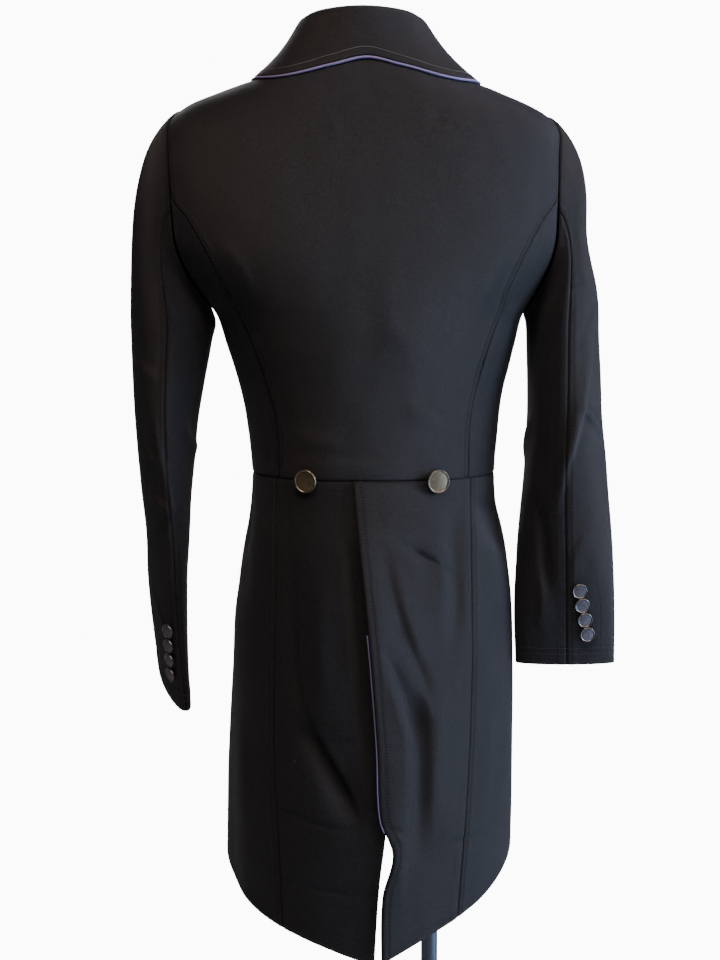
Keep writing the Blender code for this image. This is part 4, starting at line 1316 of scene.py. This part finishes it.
def piping(node, path, radius, sides=10):
    """A piping cord along a path, closed at both ends, with its length in its UV map."""
    tangent = unit(np.gradient(path, axis=0))
    side = unit(np.cross(tangent, np.array((0.0, 0.0, 1.0)) + 0.37 * tangent[:, ::-1]))
    up = np.cross(side, tangent)
    turn = circle(sides)
    ring = side[:, None] * np.cos(turn)[None, :, None] + up[:, None] * np.sin(turn)[None, :, None]
    data, corners = loft(node + "_cord", path[:, None] + ring * radius)
    run = lengths_along(path[None])[0]
    spots = np.stack(np.broadcast_arrays(turn[None] * radius, run[:, None]), axis=-1)
    mark_uv(data, spots.reshape(-1, 2), corners)
    piece(node + "_cord", finished(data), [node], lavender_piping())


def turned_mesh(name, profile, sides, worn=None):
    """A solid turned about Z from a profile that runs from its top centre to its back centre."""
    profile = np.asarray(profile, dtype=float)
    turn = circle(sides)
    across = profile[1:-1, None, 0]
    points = vectors(across * np.cos(turn), across * np.sin(turn), profile[1:-1, None, 1])
    index, between = closed_rings(*points.shape[:2])
    top = index.size
    faces = between[:, [0, 3, 2, 1]].tolist()
    for ring, centre, turned in ((index[0], top, 1), (index[-1], top + 1, -1)):
        pairs = zip(ring.tolist(), np.roll(ring, -1).tolist())
        faces += [(centre, *pair[::turned]) for pair in pairs]
    places = points.reshape(-1, 3).tolist() + [(0.0, 0.0, profile[end][1]) for end in (0, -1)]
    data = bpy.data.meshes.new(name)
    data.from_pydata(places, [], faces)
    worn = [0.0] * len(profile) if worn is None else worn
    mark(data, "worn", [*np.repeat(worn[1:-1], sides), worn[0], worn[-1]])
    return finished(data, 50)


def button(node, point, facing, off, size, look):
    """One turned button of a radius and height, off the cloth at its node's place."""
    profile = [(r * size[0], h * size[1]) for r, h, _ in BUTTON]
    sides = bpy.context.scene.shadbelly_trim.button_sides
    data = turned_mesh(node + "_turned", profile, sides, [worn for _, _, worn in BUTTON])
    turn = Vector(facing).to_track_quat("Z", "Y").to_matrix().to_4x4()
    turn.translation = Vector(point + facing * (HALF_CLOTH + off))
    data.transform(turn)
    piece(node + "_turned", data, [node], look)


def metal(node, profile, place, sides):
    """A turned piece of the form or the stand."""
    data = turned_mesh(node + "_turned", profile, sides)
    for point in data.vertices:
        point.co += Vector(place)
    piece(node + "_turned", data, [node], stand_steel())


def form_loop(table, h, clear, limit, change=None):
    """The points round one ring of the dress form, clear inside the coat."""
    ring = read(table, h).copy()
    ring[HALF] = min(ring[HALF] - clear, limit)
    ring[[BACK, FRONT]] -= clear
    ring[SIDE_Z:FRONT_Z + 1] -= 0.5 * clear
    if change:
        change(ring)
    flat = np.array([ring, ring])
    flat[1, H] += 1.0
    return dropped(ring_point(flat, circle(FORM_SIDES), np.full(FORM_SIDES, ring[H])))


def stitch_tree():
    """Geometry Nodes that lay one thread capsule at every step of a path."""
    tree = bpy.data.node_groups.get("Topstitch")
    if tree:
        return tree
    tree = bpy.data.node_groups.new("Topstitch", "GeometryNodeTree")
    tree.is_modifier = True
    for label, kind in (("Path", "Geometry"), ("Stitch Length", "Float"), ("Stitch Pitch", "Float"),
                        ("Thread Radius", "Float"), ("Thread", "Material")):
        new_socket(tree, label, kind)
    new_socket(tree, "Stitches", "Geometry", "OUTPUT")
    nodes = Nodes(tree)
    given = nodes.add("NodeGroupInput").outputs
    curve = nodes.add("GeometryNodeMeshToCurve", {"Mesh": given["Path"]}).outputs[0]
    even = nodes.add("GeometryNodeResampleCurve", {
        "Curve": curve, "Length": given["Stitch Pitch"]}, mode="LENGTH").outputs[0]
    tangent = nodes.add("GeometryNodeInputTangent").outputs[0]
    align = nodes.add("FunctionNodeAlignRotationToVector", {"Vector": tangent}, axis="Z").outputs[0]
    ball = nodes.add("GeometryNodeMeshUVSphere", {
        "Segments": 6, "Rings": 4, "Radius": 1.0}).outputs["Mesh"]
    thick = nodes.add("ShaderNodeCombineXYZ", {
        0: given["Thread Radius"], 1: given["Thread Radius"],
        2: nodes.times(given["Stitch Length"], 0.5)}).outputs[0]
    capsule = nodes.add("GeometryNodeTransform", {"Geometry": ball, "Scale": thick}).outputs[0]
    laid = nodes.add("GeometryNodeInstanceOnPoints", {
        "Points": even, "Instance": capsule, "Rotation": align}).outputs[0]
    for kind in ("SetShadeSmooth", "RealizeInstances", "SetMaterial"):
        node = nodes.add("GeometryNode" + kind, {"Geometry": laid})
        laid = node.outputs[0]
    nodes.feed(node.inputs["Material"], given["Thread"])
    nodes.add("NodeGroupOutput", {"Stitches": laid})
    return tree


def stitches(name, paths, share=1.0):
    """Topstitches along paths, as one mesh; a share below 1 makes the collar's fine ones, in a
    lighter thread that is a painted highlight.
    """
    settings = bpy.context.scene.shadbelly_stitches
    # Painted highlight: the collar's stitches take the lighter thread colour.
    fine = ("collar_thread", settings.collar_highlight_colour)
    thread = sewing_thread(*(fine if share < 1.0 else ("sewing_thread", settings.colour)))
    points = []
    edges = []
    for path in paths:
        start = len(points)
        points.extend(path.tolist())
        edges.extend((i, i + 1) for i in range(start, len(points) - 1))
    guide = bpy.data.meshes.new(name + "_path")
    guide.from_pydata(points, edges, [])
    holder = added(name + "_path", guide)
    modifier = holder.modifiers.new("Topstitch", "NODES")
    modifier.node_group = stitch_tree()
    values = {"Stitch Length": share * settings.length, "Stitch Pitch": share * settings.pitch,
              "Thread Radius": (0.5 + 0.5 * share) * settings.radius, "Thread": thread}
    for socket in modifier.node_group.interface.items_tree:
        if socket.in_out == "INPUT" and socket.name in values:
            modifier[socket.identifier] = values[socket.name]
    bpy.context.view_layer.update()
    evaluated = holder.evaluated_get(bpy.context.evaluated_depsgraph_get())
    data = bpy.data.meshes.new_from_object(evaluated)
    data.name = name
    holder.modifiers.remove(modifier)
    bpy.data.objects.remove(holder, do_unlink=True)
    if not len(data.polygons):
        raise RuntimeError("no stitches were made for " + name)
    piece(name, data, [], thread)


def beside_edge(node, edge, offset, start=0.0):
    """A path on one of the made panels at a distance from one of its edges, from a share of its
    length on.
    """
    sheet = SEWN[node]
    points = sheet.points + sheet.normals * (0.7 * bpy.context.scene.shadbelly_stitches.radius)
    away = getattr(sheet, edge)
    if edge in ("low", "top"):
        points = np.swapaxes(points, 0, 1)
        away = away.T
    path = []
    for row, run in zip(points, away):
        order = np.argsort(run)
        path.append([np.interp(offset, run[order], row[order, k]) for k in range(3)])
    return np.array(path[int(start * len(path)):])


class SHADBELLY_OT_form(Operator):
    """Covers the dress form and finishes its stand"""

    bl_idname = "shadbelly.form"
    bl_label = "Dress form and stand"

    def execute(self, context):
        """Makes the covered torso, the neck cap, the pole and the base."""
        heights = slice(SIDE_Z, FRONT_Z + 1)
        loops = []
        for share in (1.0, 0.75, 0.45, 0.18):
            def round_off(ring, share=share):
                ring[HALF] -= 0.02 * share
                ring[[BACK, FRONT]] -= 0.018 * share
                ring[heights] = FORM_LOW_Z + 0.017 * (1.0 - share) ** 2
            loops.append(form_loop(TAILS, 0.89, FORM_CLEAR + 0.006, 1.0, round_off))
        for h in np.linspace(0.892, 1.002, 8):
            loops.append(form_loop(TAILS, h, FORM_CLEAR + 0.006, 1.0))
        for h in np.linspace(1.03, 1.38, 26):
            loops.append(form_loop(BODICE, h, FORM_CLEAR, FORM_HALF))
        for h in (1.39, 1.396, 1.403, 1.41, 1.417, 1.424):
            limit = FORM_HALF - 0.017 * (h - 1.38) / 0.044
            loops.append(form_loop(BODICE, h, FORM_CLEAR + 0.004, limit))
        for share in (0.0, 0.25, 0.5, 0.75, 0.93, 1.0):
            def narrow(ring, share=share):
                shrink = share if share < 0.9 else share + 0.35 * (share - 0.9) / 0.1
                ring[HALF] = FORM_NECK_HALF - 0.006 * shrink
                ring[BACK] = FORM_NECK_DEPTH - 0.005 * shrink
                ring[FRONT] = FORM_NECK_DEPTH - 0.004 * shrink
                ring[heights] += (NECK_TOP_Z - 0.006 - ring[heights]) * share
            loops.append(form_loop(BODICE, 1.436, FORM_CLEAR + 0.01, FORM_NECK_HALF, narrow))
        data, _ = loft("form_torso_cover", np.array(loops))
        piece("form_torso_cover", finished(data, 42), ["form_torso"], form_linen())
        metal("form_neck_cap", NECK_CAP, (COAT_X - 0.001, 0.0, NECK_TOP_Z - 0.0057), 72)
        lows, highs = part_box("stand_pole")
        height = highs[2] - lows[2]
        levels = (height - 0.0006, height * 0.66, height * 0.33, 0.0006)
        outline = [(POLE_RADIUS, level) for level in levels]
        outline = [(0.0, height), (0.0084, height), *outline, (0.0084, 0.0), (0.0, 0.0)]
        metal("stand_pole", outline, (0.0, 0.0, lows[2]), 48)
        metal("stand_base", STAND_BASE, (0.0, 0.0, 0.0), 96)
        return {"FINISHED"}


class SHADBELLY_OT_back(Operator):
    """Sews the wide centre back and the two side backs"""

    bl_idname = "shadbelly.back"
    bl_label = "Bodice back"

    def execute(self, context):
        """Makes three panels, from the waist to the shoulders and the neck."""
        offset = context.scene.shadbelly_stitches.seam_offset

        def centre_edges(h):
            edge = np.where(h <= BACK_SEAM_TOP, back_seam_angle(h), armhole_angle(h, BACK))
            half = edge - seam_gap(h)
            return -half, half

        line = level_line(WAIST_Z + SEAM_GAP, NECK_H, centre_edges)
        cloth("back_centre", bodice, line, bodice_shape(BACK_CREASES, SEEDS["back"]),
              (offset, offset, 0.0, 0.0))
        for side, word in SIDES.items():
            def edges(h, side=side):
                inner = back_seam_angle(h) + seam_gap(h)
                return side * inner, side * (armhole_angle(h, BACK) - seam_gap(h))

            line = level_line(WAIST_Z + SEAM_GAP, BACK_SEAM_TOP - 0.003, edges)
            shape = bodice_shape(BACK_CREASES, SEEDS["side_back"] + side)
            cloth("side_back_" + word, bodice, line, shape, (0.0,) * 4)
        return {"FINISHED"}


class SHADBELLY_OT_fronts(Operator):
    """Sews the wrapped fronts and their lapels"""

    bl_idname = "shadbelly.fronts"
    bl_label = "Fronts and lapels"

    def execute(self, context):
        """Makes both fronts and both lapels."""
        for side, word in SIDES.items():
            def edges(h, side=side):
                outer = math.pi - armhole_angle(h, FRONT) + seam_gap(h)
                return side * outer, side * front_angle(h, front_edge_x(h))

            line = level_line(WAIST_Z + SEAM_GAP, NECK_H - 0.002, edges)
            shape = bodice_shape(stretched(FRONT_CREASES, side), SEEDS["front"] + side)
            cloth("front_" + word, front_surface(side, 0.0), line, shape, (0.0, None, 0.0, 0.0))
            self.lapel(side, word)
        return {"FINISHED"}

    def lapel(self, side, word):
        """A turned lapel, lying on its front."""
        low = BREAK_Z + 0.012

        def line(v, c):
            t = 1.0 - v
            h = low + (LAPEL_TOP_Z - low) * t
            width = LAPEL_WIDTH * (0.1 + 0.9 * np.sin(0.5 * math.pi * np.minimum(t * 1.25, 1.0)))
            level = h - 0.03 * c * smooth((t - 0.6) / 0.4)
            return side * front_angle(level, roll_x(h) + 0.004 + width * c), level

        cloth("lapel_" + word, front_surface(side, LAYER), line,
              bodice_shape([], SEEDS["lapel"] + side), (None,) * 4)


class SHADBELLY_OT_collar(Operator):
    """Sews the collar and its lavender piping"""

    bl_idname = "shadbelly.collar"
    bl_label = "Collar and piping"

    def execute(self, context):
        """Makes the stand and fall in one folded piece, then the piping on its edge."""
        def line(v, c):
            return 2.0 * c - 1.0 + 0.0 * v, v + 0.0 * c

        def shape(points, t, w):
            return 0.8 * swell(t * 0.16, w * 0.08, SEEDS["collar"]) * smooth((w - 0.5) / 0.3)

        edge = context.scene.shadbelly_stitches.edge_offset
        cloth("collar", collar_point, line, shape, (None, None, 0.0, edge),
              thickness=COLLAR_THICKNESS, sign=-1.0)
        radius = context.scene.shadbelly_trim.piping_radius
        t = np.linspace(-1.0, 1.0, 161)
        low = collar_point(t, np.ones_like(t))
        away = unit(low - collar_point(t, np.full_like(t, 0.9)))
        facing = outward(collar_point, t, np.full_like(t, 0.95), -1.0)
        path = low + away * (radius + PIPING_GAP) + facing * LAID_LIFT
        piping("collar_piping", path, radius)
        return {"FINISHED"}


class SHADBELLY_OT_tails(Operator):
    """Hangs the four tail panels and pipes the vent"""

    bl_idname = "shadbelly.tails"
    bl_label = "Tails and vent piping"

    def execute(self, context):
        """Makes two panels on each side of the vent, then the piping on its edge."""
        stitch = context.scene.shadbelly_stitches
        for side, word in SIDES.items():
            def vent(z, side=side):
                return vent_angle(z, side)

            def front(z, side=side):
                return front_edge_angle(z, side)

            def seam(away, side=side):
                return lambda z: tail_seam_angle(z, side, away)

            vent_stitch = stitch.edge_offset if side > 0 else None
            for part, inner, outer, seams in (
                    ("back", vent, seam(-1), (vent_stitch, 0.0, 0.0, None)),
                    ("side", seam(1), front, (stitch.seam_offset, None, 0.0, None))):
                cloth("tail_%s_%s" % (part, word), tail_surface(side),
                      tail_line(inner, outer, side), tail_shape(side), seams)
        radius = VENT_PIPING_SHARE * context.scene.shadbelly_trim.piping_radius
        z = np.linspace(*VENT_PIPING_Z, 90)
        path = tail_surface(1)(vent_angle(z, 1), z)
        path[:, 0] -= radius + 0.5 * PIPING_GAP
        path[:, 1] += 0.0006
        piping("vent_piping", path, radius)
        return {"FINISHED"}


class SHADBELLY_OT_sleeves(Operator):
    """Sews the two-piece sleeves"""

    bl_idname = "shadbelly.sleeves"
    bl_label = "Sleeves"

    def execute(self, context):
        """Makes an upper and an under sleeve on each side."""
        offset = context.scene.shadbelly_stitches.seam_offset
        quarter = 0.5 * math.pi
        gap = SEAM_GAP / 0.03
        for side, word in SIDES.items():
            for part, first, back_seam in (("upper", -quarter, offset), ("under", quarter, 0.0)):
                def line(v, c, first=first):
                    turn = first + gap + (math.pi - 2 * gap) * c
                    return turn + 0.0 * v, v + 0.0 * c

                cloth("sleeve_%s_%s" % (part, word), sleeve_surface(side), line,
                      sleeve_shape(side), (0.0, back_seam, 0.0, None), sign=side)
        return {"FINISHED"}


class SHADBELLY_OT_stitching(Operator):
    """Topstitches the seams, edges, hems and plackets"""

    bl_idname = "shadbelly.stitching"
    bl_label = "Topstitching"

    def execute(self, context):
        """Lays every row of stitches on the panels that are already made."""
        if "back_centre" not in SEWN:
            raise RuntimeError("the cloth panels come before their stitching")
        seam = context.scene.shadbelly_stitches.seam_offset
        edge = context.scene.shadbelly_stitches.edge_offset
        stitches("back_stitching", [
            beside_edge("back_centre", end, seam, 0.3) for end in ("first", "last")])
        stitches("collar_stitching", [beside_edge("collar", "low", edge)], 0.65)
        paths = [beside_edge("tail_back_right", "first", edge)]
        for word in SIDES.values():
            paths.append(beside_edge("tail_side_" + word, "first", seam))
            for part in ("tail_back_", "tail_side_"):
                paths.append(beside_edge(part + word, "low", TAIL_HEM_STITCHES))
        stitches("tail_stitching", paths)
        for side, word in SIDES.items():
            paths = [beside_edge("sleeve_upper_" + word, "last", seam, 0.12)]
            for part in ("sleeve_upper_", "sleeve_under_"):
                for offset in CUFF_STITCHES:
                    paths.append(beside_edge(part + word, "low", offset))
            stitches("sleeve_stitching_" + word, [*paths, self.placket(side)])
        return {"FINISHED"}

    def placket(self, side):
        """The row of stitches that holds the cuff's placket, round its buttons."""
        lift = 0.5 * bpy.context.scene.shadbelly_cloth.thickness + LAID_LIFT
        rows = np.array(PLACKET)
        corners = np.arange(len(rows))
        t = np.linspace(0.0, len(rows) - 1.0, 60)
        turn = np.radians(np.interp(t, corners, rows[:, 0]))
        z = np.interp(t, corners, rows[:, 1]) + (CUFF_Z[side] - CUFF_Z[1])
        return lifted(sleeve_surface(side), turn, sleeve_down(side, z), lift, side)


class SHADBELLY_OT_buttons(Operator):
    """Turns the waist, cuff and front buttons"""

    bl_idname = "shadbelly.buttons"
    bl_label = "Buttons"

    def execute(self, context):
        """Makes every button on its node's place."""
        trim = context.scene.shadbelly_trim
        pewter = button_metal("antique_pewter", trim.waist_colour)
        gunmetal = button_metal("gunmetal", trim.cuff_colour)
        for side, word in SIDES.items():
            angle = ring_angle(BODICE, WAIST_BUTTON_X[side], WAIST_Z)
            facing = outward(bodice, angle, WAIST_Z + 0.002)
            button("waist_button_" + word, bodice(angle, WAIST_Z), facing,
                   WAIST_BUTTON_OFF, WAIST_BUTTON, pewter)
        for side, word in SIDES.items():
            surface = sleeve_surface(side)
            for i in range(4):
                turn = np.radians(CUFF_BUTTON_TURN[side] + CUFF_BUTTON_TWIST * i)
                z = CUFF_Z[side] + CUFF_BUTTON_RISE + CUFF_BUTTON_PITCH * i
                down = sleeve_down(side, z)
                button("cuff_button_%s_%d" % (word, i + 1), surface(turn, down),
                       outward(surface, turn, down, side), CUFF_BUTTON_OFF, CUFF_BUTTON, gunmetal)
        places = [(x, z) for z in FRONT_BUTTON_Z for x in FRONT_BUTTON_X]
        for count, (x, z) in enumerate(places, 1):
            angle = front_angle(z, x)
            button("front_button_%d" % count, bodice(angle, z), outward(bodice, angle, z),
                   FRONT_LIFT + FRONT_BUTTON_OFF, FRONT_BUTTON, pewter)
        return {"FINISHED"}


class SHADBELLY_OT_stage(Operator):
    """Sets the floor, the lights and the camera"""

    bl_idname = "shadbelly.stage"
    bl_label = "Stage"

    def execute(self, context):
        """Makes a pale floor, soft light and a camera at the photograph's angle."""
        studio = context.scene.shadbelly_studio
        self.floor(studio)
        world = bpy.data.worlds.new("soft_room")
        world.use_nodes = True
        shade = world.node_tree.nodes["Background"]
        shade.inputs["Color"].default_value = (*WHITE, 1.0)
        self.shine(world.node_tree, studio.world_light, studio.backdrop, shade.inputs["Strength"])
        context.scene.world = world
        key, warm = studio.key_power, studio.warm_power
        self.light("key", (3.0, -0.6, 2.1), 1.1, key, (0.743, 0.827, 1.0))
        self.light("low", (2.7, -0.9, 0.45), 1.1, 0.54 * key, (0.37, 0.6, 1.0))
        self.light("top", (-0.25, -1.2, 3.3), 0.8, warm, (1.0, 0.774, 0.645))
        self.light("shoulder", (1.5, -1.4, 3.0), 1.0, 0.62 * warm, (1.0, 0.802, 0.667))
        self.light("front", (-0.6, 2.8, 2.3), 1.8, studio.front_power, WHITE)
        data = bpy.data.cameras.new("camera")
        data.lens = LENS
        data.sensor_width = 36.0
        data.clip_start = 0.05
        data.clip_end = 60.0
        camera = added("camera", data)
        camera.location = (COAT_X - 0.008, CAMERA_Y, CAMERA_Z)
        camera.rotation_euler = (math.radians(90.0 - CAMERA_DIP), 0.0, 0.0)
        context.scene.camera = camera
        return {"FINISHED"}

    def shine(self, tree, other, camera, socket):
        """Feeds a strength: one number for the camera and another for everything else."""
        nodes = Nodes(tree)
        seen = nodes.add("ShaderNodeLightPath").outputs["Is Camera Ray"]
        nodes.feed(socket, nodes.scaled(seen, camera - other, other))

    def floor(self, studio):
        """A floor that curves up behind the coat."""
        half, front, bend, top = 9.0, 4.0, 3.0, 9.0
        profile = [(-half, 0.0), (front, 0.0)]
        for t in np.linspace(0.1, 0.5 * math.pi, 12):
            profile.append((front + bend * math.sin(t), bend - bend * math.cos(t)))
        profile.append((front + bend, top))
        points = [(x, y, z) for y, z in profile for x in (-half, half)]
        faces = [(2 * i, 2 * i + 1, 2 * i + 3, 2 * i + 2) for i in range(len(profile) - 1)]
        data = bpy.data.meshes.new("floor")
        data.from_pydata(points, [], faces)
        data.shade_smooth()
        look = bpy.data.materials.new("pale_floor")
        look.use_nodes = True
        shader = look.node_tree.nodes["Principled BSDF"]
        shader.inputs["Base Color"].default_value = (*studio.floor_colour, 1.0)
        shader.inputs["Roughness"].default_value = 0.95
        shader.inputs["Emission Color"].default_value = (*WHITE, 1.0)
        self.shine(look.node_tree, 0.0, 0.8 * studio.backdrop, shader.inputs["Emission Strength"])
        data.materials.append(look)
        added("floor", data)

    def light(self, name, place, size, watts, colour):
        """A soft square light that looks at the coat."""
        data = bpy.data.lights.new(name, "AREA")
        data.shape = "SQUARE"
        data.size = size
        data.energy = watts
        data.color = colour
        lamp = added(name, data)
        lamp.location = place
        aim = Vector((COAT_X, 0.0, 1.05)) - Vector(place)
        lamp.rotation_euler = aim.to_track_quat("-Z", "Y").to_euler()


class SHADBELLY_PT_panel(Panel):
    """Lists the coat's settings and pieces"""

    bl_idname = "SHADBELLY_PT_panel"
    bl_label = "Shadbelly"
    bl_space_type = "VIEW_3D"
    bl_region_type = "UI"
    bl_category = "Shadbelly"

    def draw(self, context):
        """Draws the settings, then a button for each operator."""
        for _, name in SETTINGS:
            settings = getattr(context.scene, name)
            box = self.layout.box()
            for label in settings.__annotations__:
                box.prop(settings, label)
        for operator in OPERATORS:
            self.layout.operator(operator.bl_idname)


SETTINGS = (
    (ClothSettings, "shadbelly_cloth"), (StitchSettings, "shadbelly_stitches"),
    (TrimSettings, "shadbelly_trim"), (StudioSettings, "shadbelly_studio"),
)
OPERATORS = (
    SHADBELLY_OT_form, SHADBELLY_OT_back, SHADBELLY_OT_fronts, SHADBELLY_OT_collar,
    SHADBELLY_OT_tails, SHADBELLY_OT_sleeves, SHADBELLY_OT_stitching, SHADBELLY_OT_buttons,
    SHADBELLY_OT_stage,
)


def register():
    """Registers the settings, the operators and the panel."""
    for group, name in SETTINGS:
        bpy.utils.register_class(group)
        setattr(bpy.types.Scene, name, PointerProperty(type=group))
    for part in (*OPERATORS, SHADBELLY_PT_panel):
        bpy.utils.register_class(part)


def unregister():
    """Takes everything out again."""
    for part in (SHADBELLY_PT_panel, *reversed(OPERATORS)):
        bpy.utils.unregister_class(part)
    for group, name in reversed(SETTINGS):
        delattr(bpy.types.Scene, name)
        bpy.utils.unregister_class(group)


def main():
    """Makes every piece in order."""
    register()
    bpy.ops.shadbelly.form()
    bpy.ops.shadbelly.back()
    bpy.ops.shadbelly.fronts()
    bpy.ops.shadbelly.collar()
    bpy.ops.shadbelly.tails()
    bpy.ops.shadbelly.sleeves()
    bpy.ops.shadbelly.stitching()
    bpy.ops.shadbelly.buttons()
    bpy.ops.shadbelly.stage()


if __name__ == "__main__":
    main()
